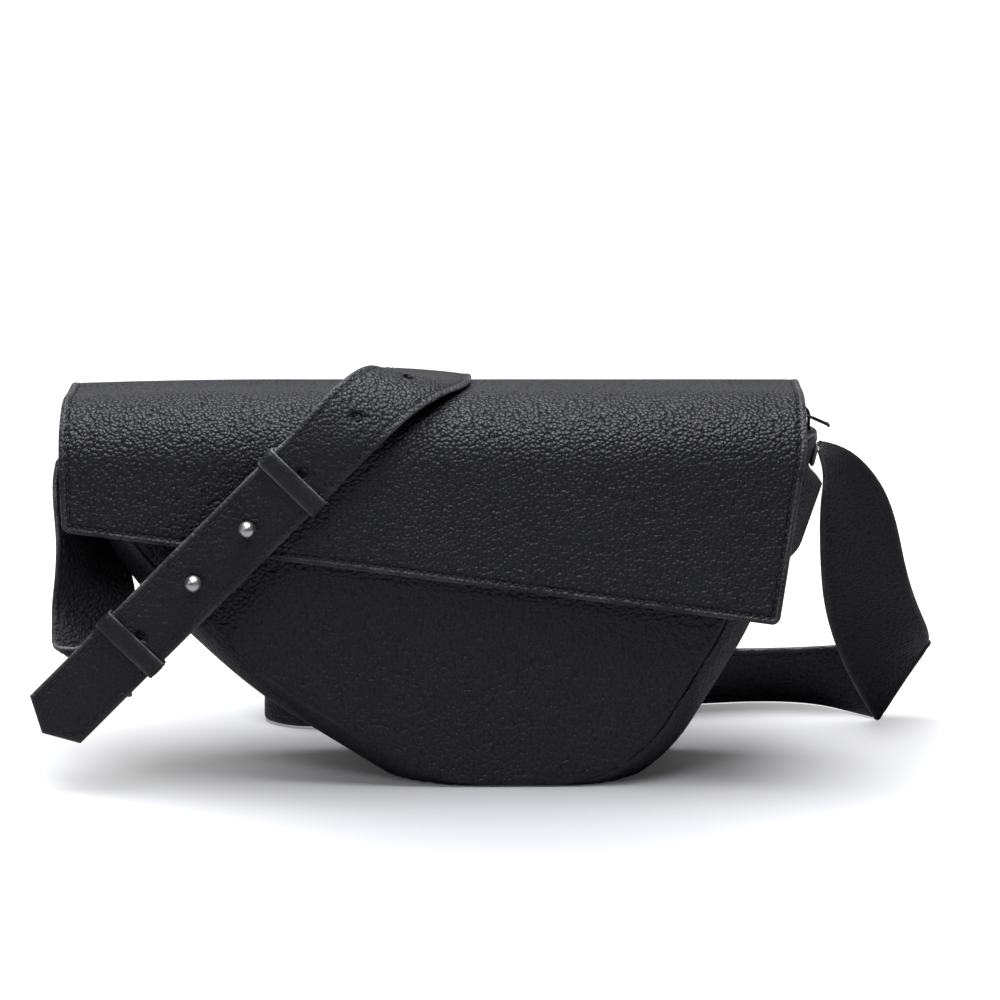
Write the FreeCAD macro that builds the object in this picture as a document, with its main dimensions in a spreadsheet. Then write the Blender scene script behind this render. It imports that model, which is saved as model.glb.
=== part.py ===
import FreeCAD, Part
import math
import os

import Sketcher

Vector = FreeCAD.Vector
X_AXIS = Vector(1, 0, 0)
Y_AXIS = Vector(0, 1, 0)
Z_AXIS = Vector(0, 0, 1)

# Driving dimensions of the bag in millimetres, piece by piece.
DIMENSIONS = {
    # Half-moon body: front and back panels, gusset, mouth.
    "outline_width": 299,
    "outline_height": 156,
    "mouth_drop": 10,
    "leather_thick": 2,
    "gusset_bulge": 13.5,
    "front_seam": 33,
    "back_seam": 29.5,
    "front_reach": 35,
    "back_reach": 30.9,
    "front_crown_radius": 2500,
    "back_crown_radius": 5000,
    "crown_x": -30,
    "crown_height": 80,
    "facing_thick": 1.4,
    "facing_slot": 26,
    # Lining and the stiffener in the base.
    "lining_thick": 0.8,
    "lining_gap": 0.2,
    "board_thick": 1.2,
    "board_length": 66,
    "board_width": 40,
    "board_corner": 8,
    # Flap: rolled over the top, slanted lower edge.
    "flap_leather_thick": 1.4,
    "flap_lining_thick": 1,
    "flap_front": 39.5,
    "flap_back": 33.8,
    "flap_rise": 21,
    "flap_front_roll": 28,
    "flap_back_roll": 24,
    "flap_left_overhang": 5.5,
    "flap_right_overhang": 3,
    "flap_left_low_overhang": 5,
    "flap_left_low_drop": 33.7,
    "flap_right_low_inset": 7.4,
    "flap_right_low_drop": 72.6,
    "flap_corner": 6,
    "hinge_drop": 9,
    "hinge_gap": 0.3,
    "root_height": 25,
    "root_margin": 12,
    # Shoulder strap, in two halves that button together over the flap.
    "strap_thick": 2.2,
    "strap_narrow": 29,
    "strap_wide": 37,
    "strap_lift": 4.15,
    "strap_layer_gap": 0.15,
    "strap_bend_drop": 0.5,
    "strap_turn_rise": 19.5,
    "strap_turn_length": 34,
    "strap_floor_gap": 0.8,
    "strap_spread": 55,
    "strap_split_gap": 0.6,
    "strap_lead": 6,
    "strap_anchor_drop": 9,
    "strap_anchor_width": 15,
    "tab_thick": 1.6,
    "tab_height": 17,
    # Studs, their screws and the row of holes.
    "stud_inset": 49.8,
    "stud_drop": 54.5,
    "strap_angle": 45.2,
    "hole_pitch": 32,
    "hole_diameter": 4.4,
    "stud_ball": 7,
    "stud_neck": 3.6,
    "screw_head": 8,
    "screw_head_thick": 0.9,
    "screw_slot": 1.2,
    "screw_slot_depth": 0.4,
    "tip_length": 83,
    "tip_point": 8,
    "short_start": 48,
    "short_end": 67,
    # Keeper loops round both strap halves.
    "keeper_length": 8.6,
    "keeper_wall": 1.2,
    "keeper_slack": 0.35,
    "tip_keeper_place": -37.8,
    "inner_keeper_place": 58.3,
    # Zip fastener in the mouth.
    "zip_left_inset": 8,
    "zip_right_inset": 3,
    "tape_width": 11.8,
    "tape_thick": 0.8,
    "tape_drop": 0.3,
    "tooth_tip_gap": 0.7,
    "tooth_depth": 2.5,
    "tooth_height": 2.6,
    "tooth_length": 1.5,
    "tooth_pitch": 3.4,
    "slider_overhang": 1.8,
    "slider_length": 10,
    "slider_width": 8,
    "slider_plate": 1.3,
    "slider_gap": 0.35,
    "slider_post": 0.8,
    "slider_post_length": 3,
    "bridge_radius": 4.6,
    "bridge_rise": 4,
    "bridge_wire": 0.7,
    "puller_eye": 1.7,
    "puller_wire": 0.5,
    "puller_bar": 0.7,
    "puller_length": 7.2,
    "puller_end_length": 5,
    "puller_angle": 24,
    # Run-out of cutting and trimming solids.
    "overrun": 30,
}

# The outline's ends at the rim, as shares of its width to the left and right of the origin.
LEFT_SHARE = 0.602
RIGHT_SHARE = 0.398

# Corners of the panel outline: share of the outline's width, share of its height, and the
# corner's radius as a share of the height. The flat base lies between the first two.
OUTLINE_SHARES = [
    (-0.097, 0.0, 0.51),
    (0.164, 0.0, 0.385),
    (0.304, 0.455, 0.96),
    (RIGHT_SHARE, 1.0, 0.0),
    (-LEFT_SHARE, 1.0, 0.0),
    (-0.545, 0.724, 0.77),
    (-0.361, 0.3205, 1.28),
]

# Places that follow from the driving dimensions: heights from the mouth, sideways from the ends.
PLACES = {
    "mouth_height": "outline_height - mouth_drop",
    "left_end": "0 - outline_width * %s" % LEFT_SHARE,
    "right_end": "outline_width * %s" % RIGHT_SHARE,
    "flap_top": "mouth_height + flap_rise",
    "flap_left": "left_end - flap_left_overhang",
    "flap_right": "right_end + flap_right_overhang",
    "flap_left_low": "left_end - flap_left_low_overhang",
    "flap_left_low_height": "mouth_height - flap_left_low_drop",
    "flap_right_low": "right_end - flap_right_low_inset",
    "flap_right_low_height": "mouth_height - flap_right_low_drop",
    "hinge_height": "mouth_height - hinge_drop",
    "bend_height": "mouth_height - strap_bend_drop",
    "anchor_height": "mouth_height - strap_anchor_drop",
    "stud_x": "left_end + stud_inset",
    "stud_z": "mouth_height - stud_drop",
    "zip_left": "left_end + zip_left_inset",
    "zip_right": "right_end - zip_right_inset",
    "slider_place": "right_end + slider_overhang",
}

doc = FreeCAD.newDocument("saddle_handbag")
sheet = doc.addObject("Spreadsheet::Sheet", "Dimensions")
cells = {alias: str(value) for alias, value in DIMENSIONS.items()}
cells.update({alias: "=" + formula for alias, formula in PLACES.items()})
for row, (alias, content) in enumerate(cells.items(), start=1):
    sheet.set("A%d" % row, alias)
    sheet.setAlias("B%d" % row, alias)
    sheet.set("B%d" % row, content)
doc.recompute()

parts = []


def mm(alias):
    return float(sheet.get(alias))


def keep(node, label):
    node.Label = label
    parts.append(node)
    return node


def form(label, shape):
    node = doc.addObject("Part::Feature", label)
    node.Shape = shape
    node.Placement = FreeCAD.Placement()
    return keep(node, label)


def bind(node, **expressions):
    for name, expression in expressions.items():
        node.setExpression(name, expression)


def cell(text):
    return " ".join("Dimensions." + word if word in cells else word for word in text.split(" "))


def bound(kind, name, **expressions):
    node = doc.addObject(kind, name)
    bind(node, **{key: cell(text) for key, text in expressions.items()})
    return node


def block(x_low, x_high, y_low, y_high, z_low, z_high):
    return Part.makeBox(x_high - x_low, y_high - y_low, z_high - z_low, Vector(x_low, y_low, z_low))


overrun = mm("overrun")
leather_thick = mm("leather_thick")
lining_thick = mm("lining_thick")
lining_gap = mm("lining_gap")
mouth_height = mm("mouth_height")
outline_width = mm("outline_width")
outline_height = mm("outline_height")


# Half-moon outline of the panels, drawn in the upright plane and set out by a margin.
def outline_corners(margin):
    points = [Vector(x * outline_width, 0, z * outline_height) for x, z, _ in OUTLINE_SHARES]
    moved = []
    for before, here, after in zip(points[-1:] + points[:-1], points, points[1:] + points[:1]):
        arriving = (here - before).normalize()
        leaving = (after - here).normalize()
        outward = Vector(arriving.z, 0, -arriving.x) + Vector(leaving.z, 0, -leaving.x)
        outward.normalize()
        stretch = outward.dot(Vector(leaving.z, 0, -leaving.x))
        moved.append(here + outward * (margin / stretch))
    return moved


def rounded_wire(corners, radii):
    edges = []
    ends = []
    for before, here, after, radius in zip(corners[-1:] + corners[:-1], corners,
                                           corners[1:] + corners[:1], radii):
        back = (before - here).normalize()
        ahead = (after - here).normalize()
        half = back.getAngle(ahead) / 2
        tangent = radius / math.tan(half)
        middle = (back + ahead).normalize() * (radius / math.sin(half) - radius)
        ends.append((here + back * tangent, here + middle, here + ahead * tangent))
    for (first, middle, last), following in zip(ends, ends[1:] + ends[:1]):
        if (last - first).Length > 0:
            edges.append(Part.Arc(first, middle, last).toShape())
        edges.append(Part.makeLine(last, following[0]))
    return Part.Wire(edges)


def outline_wire(margin, depth):
    radii = [share * outline_height + (margin if share else 0) for _, _, share in OUTLINE_SHARES]
    wire = rounded_wire(outline_corners(margin), radii)
    wire.translate(Vector(0, depth, 0))
    return wire


def outline_prism(margin, y_low, y_high):
    return Part.Face(outline_wire(margin, y_low)).extrude(Vector(0, y_high - y_low, 0))


# The gusset's swelling form: the outline at both seams, largest half-way between them.
swell_steps = 6


def swollen_body(margin):
    front_seam = mm("front_seam")
    back_seam = mm("back_seam")
    sections = []
    for step in range(swell_steps + 1):
        share = step / swell_steps
        swell = mm("gusset_bulge") * 4 * share * (1 - share)
        sections.append(outline_wire(margin + swell, (front_seam + back_seam) * share - front_seam))
    return Part.makeLoft(sections, True, True)


def front_ball(inset):
    radius = mm("front_crown_radius")
    centre = Vector(mm("crown_x"), radius - mm("front_reach"), mm("crown_height"))
    return Part.makeSphere(radius - inset, centre)


def back_ball(inset):
    radius = mm("back_crown_radius")
    centre = Vector(mm("crown_x"), mm("back_reach") - radius, mm("crown_height"))
    return Part.makeSphere(radius - inset, centre)


def between_heights(z_low, z_high):
    width = outline_width
    return block(-width, width, -width, width, z_low, z_high)


def crowned_panel(ball, margin, inset, thick, z_top, side):
    depth = mm("front_reach") + mm("back_reach")
    low, high = (-depth, 0) if side < 0 else (0, depth)
    panel = outline_prism(margin, low, high).common(ball(inset)).cut(ball(inset + thick))
    return panel.common(between_heights(-overrun, z_top))


def gusset_band(margin, thick, inset, z_floor, z_top):
    outer = swollen_body(-margin).common(between_heights(z_floor, z_top))
    outer = outer.common(front_ball(inset)).common(back_ball(inset))
    inner = swollen_body(-margin - thick).common(between_heights(z_floor + thick, z_top + overrun))
    return outer.cut(inner)


# Leather panels and the gusset that runs down one side, under the base and up the other.
form("front_panel", crowned_panel(front_ball, 0, 0, leather_thick, mouth_height, -1))
form("back_panel", crowned_panel(back_ball, 0, 0, leather_thick, mouth_height, 1))
form("gusset", gusset_band(0, leather_thick, leather_thick, 0, mouth_height))

# Fabric lining, a little smaller than the leather on every side.
tape_top = mouth_height - mm("tape_drop")
tape_low = tape_top - mm("tape_thick")
tape_middle = (tape_top + tape_low) / 2
tooth_low = tape_middle - mm("tooth_height") / 2
tooth_top = tape_middle + mm("tooth_height") / 2
under_top = tooth_low - mm("slider_gap")
under_low = under_top - mm("slider_plate")
lining_margin = leather_thick + lining_gap
lining_floor = leather_thick + mm("board_thick") + 2 * lining_gap
lining_top = under_low - lining_gap
lining_panel_margin = -(lining_margin + lining_thick + lining_gap)
lining_height = between_heights(lining_floor + lining_thick + lining_gap, lining_top)
for label, ball, side in (("lining_front", front_ball, -1), ("lining_back", back_ball, 1)):
    panel = crowned_panel(ball, lining_panel_margin, lining_margin, lining_thick, lining_top, side)
    form(label, panel.common(lining_height))
form("lining_gusset", gusset_band(lining_margin, lining_thick, lining_margin, lining_floor, lining_top))


# Leather facings that turn in from the rim and leave a slot for the zip.
def rim_slab(keep_box):
    slab = swollen_body(0).common(between_heights(mouth_height, mouth_height + mm("facing_thick")))
    return slab.common(front_ball(0)).common(back_ball(0)).common(keep_box)


half_slot = mm("facing_slot") / 2
rim_top = mouth_height + mm("facing_thick") + overrun
wide = outline_width
form("front_facing", rim_slab(block(-wide, wide, -wide, -half_slot, 0, rim_top)))
form("back_facing", rim_slab(block(-wide, wide, half_slot, wide, 0, rim_top)))
half_tab = half_slot - lining_gap
form("zip_end_tab", rim_slab(block(-wide, mm("zip_left") - mm("tape_drop"), -half_tab, half_tab, 0, rim_top)))


# Sketch helpers: a rectangle about the sketch's origin, driven by two cells.
def body_plane(body, role):
    return [plane for plane in body.Origin.OriginFeatures if plane.Role == role][0]


def new_sketch(body, name, role):
    sketch = body.newObject("Sketcher::SketchObject", name)
    sketch.AttachmentSupport = [(body_plane(body, role), "")]
    sketch.MapMode = "FlatFace"
    return sketch


def centred_rectangle(sketch, name, width_text, depth_text):
    width = sheet.evalExpression(cell(width_text))
    depth = sheet.evalExpression(cell(depth_text))
    corners = [Vector(x * width / 2, y * depth / 2, 0) for x, y in ((-1, -1), (1, -1), (1, 1), (-1, 1))]
    first = sketch.GeometryCount
    for start, end in zip(corners, corners[1:] + corners[:1]):
        sketch.addGeometry(Part.LineSegment(start, end), False)
    for side in range(4):
        sketch.addConstraint(Sketcher.Constraint("Coincident", first + side, 2, first + (side + 1) % 4, 1))
    for side, way in enumerate(("Horizontal", "Vertical", "Horizontal", "Vertical")):
        sketch.addConstraint(Sketcher.Constraint(way, first + side))
    sketch.addConstraint(Sketcher.Constraint("Symmetric", first, 1, first + 2, 1, -1, 1))
    across = sketch.addConstraint(Sketcher.Constraint("DistanceX", first, 1, first, 2, width))
    sketch.renameConstraint(across, name + "_width")
    along = sketch.addConstraint(Sketcher.Constraint("DistanceY", first + 1, 1, first + 1, 2, depth))
    sketch.renameConstraint(along, name + "_depth")
    sketch.setExpression("Constraints." + name + "_width", cell(width_text))
    sketch.setExpression("Constraints." + name + "_depth", cell(depth_text))


# Stiffener board that keeps the base flat, between the leather and the lining.
board = doc.addObject("PartDesign::Body", "base_board")
board_sketch = new_sketch(board, "board_outline", "XY_Plane")
centred_rectangle(board_sketch, "board", "board_length", "board_width")
board_pad = board.newObject("PartDesign::Pad", "board_pad")
board_pad.Profile = board_sketch
bind(board_pad, Length=cell("board_thick"))
doc.recompute()
board_round = board.newObject("PartDesign::Fillet", "board_round")
upright = []
for index, edge in enumerate(board_pad.Shape.Edges, start=1):
    if edge.BoundBox.ZLength > edge.BoundBox.XLength + edge.BoundBox.YLength:
        upright.append("Edge%d" % index)
board_round.Base = (board_pad, upright)
bind(board_round, Radius=cell("board_corner"))
base_centre = (OUTLINE_SHARES[0][0] + OUTLINE_SHARES[1][0]) / 2 * outline_width
seam_centre = (mm("back_seam") - mm("front_seam")) / 2
board_place = Vector(base_centre, seam_centre, leather_thick + lining_gap / 2)
board.Placement = FreeCAD.Placement(board_place, FreeCAD.Rotation())
keep(board, "base_board")


# Flap: a rolled profile seen from the side, trimmed to its slanted outline seen from the front.
def flap_path(inset, z_front):
    front = -mm("flap_front") + inset
    back = mm("flap_back") - inset
    top = mm("flap_top") - inset
    front_roll = mm("flap_front_roll") - inset
    back_roll = mm("flap_back_roll") - inset
    bend = math.sqrt(0.5)
    return [
        (Vector(0, back, mm("hinge_height")), Vector(0, back, top - back_roll)),
        (Vector(0, back, top - back_roll),
         Vector(0, back - back_roll + back_roll * bend, top - back_roll + back_roll * bend),
         Vector(0, back - back_roll, top)),
        (Vector(0, back - back_roll, top), Vector(0, front + front_roll, top)),
        (Vector(0, front + front_roll, top),
         Vector(0, front + front_roll - front_roll * bend, top - front_roll + front_roll * bend),
         Vector(0, front, top - front_roll)),
        (Vector(0, front, top - front_roll), Vector(0, front, z_front)),
    ]


def path_edges(path):
    return [Part.Arc(*points).toShape() if len(points) == 3 else Part.makeLine(*points) for points in path]


def flap_layer(inset, thick, margin):
    outer = flap_path(inset, 0)
    inner = flap_path(inset + thick, 0)
    edges = path_edges(outer) + path_edges(inner)
    edges.append(Part.makeLine(outer[0][0], inner[0][0]))
    edges.append(Part.makeLine(outer[-1][-1], inner[-1][-1]))
    face = Part.Face(Part.Wire(Part.__sortEdges__(edges)))
    left = mm("flap_left") - overrun
    face.translate(Vector(left, 0, 0))
    rolled_sheet = face.extrude(Vector(mm("flap_right") + overrun - left, 0, 0))
    high = mm("flap_top") + overrun
    corners = [
        Vector(mm("flap_left_low") + margin, 0, mm("flap_left_low_height") + margin),
        Vector(mm("flap_right_low") - margin, 0, mm("flap_right_low_height") + margin),
        Vector(mm("flap_right") - margin, 0, mouth_height),
        Vector(mm("flap_right") - margin, 0, high),
        Vector(mm("flap_left") + margin, 0, high),
    ]
    radii = [mm("flap_corner"), mm("flap_corner"), 0, 0, 0]
    trim = Part.Face(rounded_wire(corners, radii))
    trim.translate(Vector(0, -mm("flap_front") - overrun, 0))
    depth = mm("flap_front") + mm("flap_back") + 2 * overrun
    return rolled_sheet.common(trim.extrude(Vector(0, depth, 0)))


flap_leather_thick = mm("flap_leather_thick")
flap_lining_thick = mm("flap_lining_thick")
form("flap_leather", flap_layer(0, flap_leather_thick, 0))
form("flap_lining", flap_layer(flap_leather_thick, flap_lining_thick, flap_leather_thick))

# The flap's sewn root on the back panel, below its fold line.
root = bound("Part::Box", "flap_root",
             Length="flap_right - flap_left - 2 * root_margin",
             Width="flap_leather_thick + flap_lining_thick",
             Height="root_height")
bind(root, **{
    "Placement.Base.x": cell("flap_left + root_margin"),
    "Placement.Base.y": cell("flap_back - flap_leather_thick - flap_lining_thick"),
    "Placement.Base.z": cell("hinge_height - hinge_gap - root_height"),
})
keep(root, "flap_root")

# Shoulder strap over the flap. Lengths run along the strap from the lower stud.
strap_thick = mm("strap_thick")
strap_top = mm("flap_top") + mm("strap_lift") + strap_thick
short_back = mm("flap_front") + mm("strap_lift") - strap_thick - mm("strap_layer_gap")
long_back = mm("flap_front") + mm("strap_lift")
strap_front = long_back + strap_thick
strap_rear = mm("flap_back") + mm("strap_lift") + strap_thick
bend_height = mm("bend_height")
front_bend = strap_top - bend_height
rear_bend = mm("flap_back_roll") + mm("strap_lift") + strap_thick
slope = math.radians(mm("strap_angle"))
stud_x = mm("stud_x")
stud_z = mm("stud_z")
along = Vector(math.cos(slope), 0, math.sin(slope))
across = Vector(math.sin(slope), 0, -math.cos(slope))
half_strap = strap_thick / 2
arc_steps = 8


def front_place(reach):
    return Vector(stud_x, 0, stud_z) + along * reach


# Stations of the rolled strap: developed length, place of the outer face and its outward normal.
def rolled_stations():
    stations = []
    quarter = math.pi / 2
    length = bend_height
    top_front = -strap_front + front_bend
    top_rear = strap_rear - rear_bend
    for step in range(arc_steps + 1):
        angle = quarter * step / arc_steps
        normal = Vector(0, -math.cos(angle), math.sin(angle))
        centre = Vector(0, top_front, bend_height)
        stations.append((length + (front_bend - half_strap) * angle, centre + normal * front_bend, normal))
    length += (front_bend - half_strap) * quarter + top_rear - top_front
    for step in range(arc_steps + 1):
        angle = quarter * step / arc_steps
        normal = Vector(0, math.sin(angle), math.cos(angle))
        centre = Vector(0, top_rear, strap_top - rear_bend)
        stations.append((length + (rear_bend - half_strap) * angle, centre + normal * rear_bend, normal))
    length += (rear_bend - half_strap) * quarter
    drop = strap_top - rear_bend - mm("hinge_height")
    stations.append((length + drop, Vector(0, strap_rear, mm("hinge_height")), Vector(0, 1, 0)))
    return stations


# Over the top the slanting strap turns straight back and widens; share 0 before that, 1 after it.
def turn_share(length):
    share = (length - bend_height - mm("strap_turn_rise")) / mm("strap_turn_length")
    return min(max(share, 0), 1)


def strap_centre_x(length):
    turn_length = mm("strap_turn_length")
    turn_end = bend_height + mm("strap_turn_rise") + turn_length
    lost = turn_share(length) ** 2 / 2 * turn_length + max(length - turn_end, 0)
    return stud_x + (length - stud_z - lost) / math.tan(slope)


def level_section(length, outer, normal):
    centre_x = strap_centre_x(length)
    share = turn_share(length)
    width = mm("strap_narrow") + (mm("strap_wide") - mm("strap_narrow")) * share
    half = width / 2 * math.hypot(1, (1 - share) / math.tan(slope))
    left = outer + X_AXIS * (centre_x - half)
    right = outer + X_AXIS * (centre_x + half)
    depth = normal * -strap_thick
    return [left, right, right + depth, left + depth]


def ribbon(sections):
    wires = [Part.makePolygon(section + section[:1]) for section in sections]
    return Part.makeLoft(wires, True, True)


def peg(point, normal, diameter, length):
    return Part.makeCylinder(diameter / 2, length, point - normal * (length / 2), normal)


rolled = rolled_stations()
flat_front = Vector(0, -strap_front, 0)
low_end = (0, flat_front, Vector(0, -1, 0))
front_band = ribbon([level_section(*station) for station in [low_end] + rolled])
half_narrow = mm("strap_narrow") / 2
tip_lead = along * (mm("tip_length") + overrun * 2)
tip_corners = [
    front_place(-mm("tip_length")) - across * half_narrow,
    front_place(-mm("tip_length") - mm("tip_point")),
    front_place(-mm("tip_length")) + across * half_narrow,
]
waste = Part.makePolygon([
    tip_corners[0], tip_corners[1], tip_corners[2],
    tip_corners[2] + across * overrun,
    tip_corners[2] + across * overrun - tip_lead,
    tip_corners[0] - across * overrun - tip_lead,
    tip_corners[0] - across * overrun,
    tip_corners[0],
])
waste = Part.Face(waste)
waste.translate(Vector(0, -strap_front - overrun, 0))
front_band = front_band.cut(waste.extrude(Vector(0, 2 * overrun, 0)))


def rolled_place(reach):
    length = stud_z + reach * math.sin(slope)
    x = strap_centre_x(length)
    if length <= bend_height:
        return Vector(x, -strap_front, length), Vector(0, -1, 0)
    angle = (length - bend_height) / (front_bend - half_strap)
    normal = Vector(0, -math.cos(angle), math.sin(angle))
    return Vector(x, -strap_front + front_bend, bend_height) + normal * front_bend, normal


HOLE_STEPS = (-1, 0, 1, 2, 3, 4)
for step in HOLE_STEPS:
    point, normal = rolled_place(step * mm("hole_pitch"))
    front_band = front_band.cut(peg(point, normal, mm("hole_diameter"), 4 * strap_thick))
form("strap_long_front", front_band)

# The short half under it, flat behind the buttoned stretch, with a rounded end.
short_points = [
    front_place(-mm("short_start")) - across * half_narrow,
    front_place(-mm("short_start")) + across * half_narrow,
    front_place(mm("short_end") - half_narrow) + across * half_narrow,
    front_place(mm("short_end") - half_narrow) - across * half_narrow,
]
short_wire = Part.Wire([
    Part.makeLine(short_points[0], short_points[1]),
    Part.makeLine(short_points[1], short_points[2]),
    Part.Arc(short_points[2], front_place(mm("short_end")), short_points[3]).toShape(),
    Part.makeLine(short_points[3], short_points[0]),
])
short_face = Part.Face(short_wire)
short_face.translate(Vector(0, -short_back - strap_thick, 0))
short_front = short_face.extrude(Vector(0, strap_thick, 0))
for step in (0, 1):
    point = front_place(step * mm("hole_pitch")) - Y_AXIS * short_back
    short_front = short_front.cut(peg(point, Y_AXIS, mm("stud_neck"), 4 * strap_thick))
form("strap_short_front", short_front)


# Free runs of the strap: each station has its place and its width's direction; the runs
# between stations follow smooth curves through both edges.
def smooth_ribbon(edge_pairs, steps):
    curves = []
    for side in (0, 1):
        curve = Part.BSplineCurve()
        curve.interpolate([pair[side] for pair in edge_pairs])
        curves.append(curve)
    knots = curves[0].getKnots()
    far_knots = curves[1].getKnots()
    places = [(knots[0], far_knots[0])]
    for near_low, near_high, far_low, far_high in zip(knots, knots[1:], far_knots, far_knots[1:]):
        for step in range(1, steps + 1):
            share = step / steps
            places.append((near_low + (near_high - near_low) * share, far_low + (far_high - far_low) * share))
    sections = []
    for near_at, far_at in places:
        near = curves[0].value(near_at)
        far = curves[1].value(far_at)
        heading = Vector(*curves[0].tangent(near_at)[0]) + Vector(*curves[1].tangent(far_at)[0])
        normal = heading.cross(far - near).normalize() * half_strap
        sections.append([near + normal, far + normal, far - normal, near - normal])
    return ribbon(sections)


def edge_pair(centre, direction, width):
    reach = Vector(*direction).normalize() * (width / 2)
    return centre - reach, centre + reach


def floor_centre(x, y, direction, width):
    rise = abs(Vector(*direction).normalize().z) * width / 2
    return Vector(x, y, mm("strap_floor_gap") + rise)


strap_wide = mm("strap_wide")
strap_spread = mm("strap_spread")
rear_plane = strap_rear - half_strap
run_steps = 4

# Down the back: sideways from the flap's fold line as shares of the outline's width, shares of the
# spread behind the bag and of the mouth's height, then the direction of the strap's width and its
# share of the wide strap.
BACK_RUN_SHARES = [
    (0.02, 0.0, 0.822, (0.99, 0.0, 0.12), 1.0),
    (0.045, 0.035, 0.664, (1.0, 0.0, 0.0), 1.0),
    (0.045, 0.145, 0.479, (0.95, 0.0, -0.3), 1.0),
    (0.0, 0.27, 0.295, (0.72, 0.0, -0.7), 1.0),
    (-0.085, 0.345, 0.178, (0.36, 0.0, -0.93), 1.0),
]
# Along the floor behind the bag, standing on its edge, round a turn at the left and out to
# the fold at the right: shares of the outline's width and of the spread, and the width's direction.
FLOOR_RUN_SHARES = [
    (-0.301, 0.363, (0.0, 0.0, -1.0)),
    (-0.348, 0.49, (0.0, 0.0, -1.0)),
    (-0.363, 0.654, (0.0, 0.0, -1.0)),
    (-0.348, 0.817, (0.0, 0.0, -1.0)),
    (-0.294, 0.926, (0.0, 0.0, -1.0)),
    (-0.134, 0.854, (0.0, 0.12, -0.99)),
    (0.1, 0.78, (0.0, 0.33, -0.94)),
    (0.284, 0.89, (0.0, 0.45, -0.89)),
    (0.385, 0.963, (0.0, 0.45, -0.89)),
    (0.472, 0.872, (0.0, 0.4, -0.91)),
    (0.528, 0.74, (-0.25, 0.25, -0.93)),
]
FOLD_SHARES = (0.585, 0.66, (-0.55, -0.09, -0.83))
FOLD_WIDTH_SHARE = 1.16
# Up from the fold to the right end: shares of the outline's width, of the fold's depth and of
# the mouth's height, the width's direction and its share of the wide strap.
RIGHT_RUN_SHARES = [
    (0.558, 0.92, 0.205, (-0.85, -0.1, -0.5), 1.06),
    (0.53, 0.72, 0.356, (-0.99, -0.1, -0.05), 1.02),
    (0.51, 0.44, 0.548, (-0.98, -0.2, 0.0), 1.0),
    (0.493, 0.25, 0.76, (-0.85, -0.5, -0.05), 0.87),
    (0.465, 0.11, 0.87, (-0.5, -0.85, -0.15), 0.68),
]
# The short half from the left end down to its forward roll and up to the buttoned stretch: shares
# of the way sideways from the end to that stretch, of the strap's front plane and of the height
# between the two, then the width's direction and its share of the wide strap.
SHORT_RUN_SHARES = [
    (-0.12, 0.024, 0.901, (0.15, 0.99, 0.0), 0.6),
    (0.13, 0.17, 0.638, (0.45, 0.9, 0.0), 0.82),
    (0.52, 0.34, 0.362, (0.8, 0.58, -0.1), 0.95),
    (0.6, 0.533, 0.138, (0.9, 0.1, -0.4), 1.0),
    (0.627, 0.738, 0.021, (0.86, 0.05, -0.5), 1.02),
    (0.615, 0.872, -0.065, (0.84, 0.0, -0.54), 1.03),
    (0.708, 0.955, -0.066, (0.8, 0.0, -0.6), 0.95),
]

hinge_section = level_section(*rolled[-1])
hinge_pair = ((hinge_section[0] + hinge_section[3]) / 2, (hinge_section[1] + hinge_section[2]) / 2)
fold_line_x = (hinge_pair[0].x + hinge_pair[1].x) / 2
gap_down = Z_AXIS * -mm("hinge_gap")
rear_pairs = [(hinge_pair[0] + gap_down, hinge_pair[1] + gap_down)]
for x, y, z, direction, width in BACK_RUN_SHARES:
    centre = Vector(fold_line_x + x * outline_width, rear_plane + y * strap_spread, z * mouth_height)
    rear_pairs.append(edge_pair(centre, direction, width * strap_wide))
for x, y, direction in FLOOR_RUN_SHARES:
    centre = floor_centre(x * outline_width, rear_plane + y * strap_spread, direction, strap_wide)
    rear_pairs.append(edge_pair(centre, direction, strap_wide))
fold_x, fold_y, fold_direction = FOLD_SHARES
fold_width = FOLD_WIDTH_SHARE * strap_wide
fold_centre = floor_centre(fold_x * outline_width, rear_plane + fold_y * strap_spread,
                           fold_direction, fold_width)
rear_pairs.append(edge_pair(fold_centre + Y_AXIS * half_strap, fold_direction, fold_width))
form("strap_long_rear", smooth_ribbon(rear_pairs, run_steps))


# Anchor places on the swollen ends of the gusset.
def end_x(side, height):
    corners = outline_corners(mm("gusset_bulge"))
    low, high = (corners[5], corners[4]) if side == "left" else (corners[2], corners[3])
    return low.x + (high.x - low.x) * (height - low.z) / (high.z - low.z)


anchor_height = mm("anchor_height")
anchor_width = mm("strap_anchor_width")
tab_thick = mm("tab_thick")
anchor_step = tab_thick + half_strap + 2 * lining_gap
right_anchor = end_x("right", anchor_height) + anchor_step
left_anchor = end_x("left", anchor_height) - anchor_step
fold_front = fold_centre - Y_AXIS * (half_strap + mm("strap_split_gap"))
right_pairs = [edge_pair(fold_front, fold_direction, fold_width)]
for x, y, z, direction, width in RIGHT_RUN_SHARES:
    centre = Vector(x * outline_width, y * fold_front.y, z * mouth_height)
    right_pairs.append(edge_pair(centre, direction, width * strap_wide))
right_pairs.append(edge_pair(Vector(right_anchor, seam_centre, anchor_height), (0, -1, 0), anchor_width))
form("strap_long_right", smooth_ribbon(right_pairs, run_steps))

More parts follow.
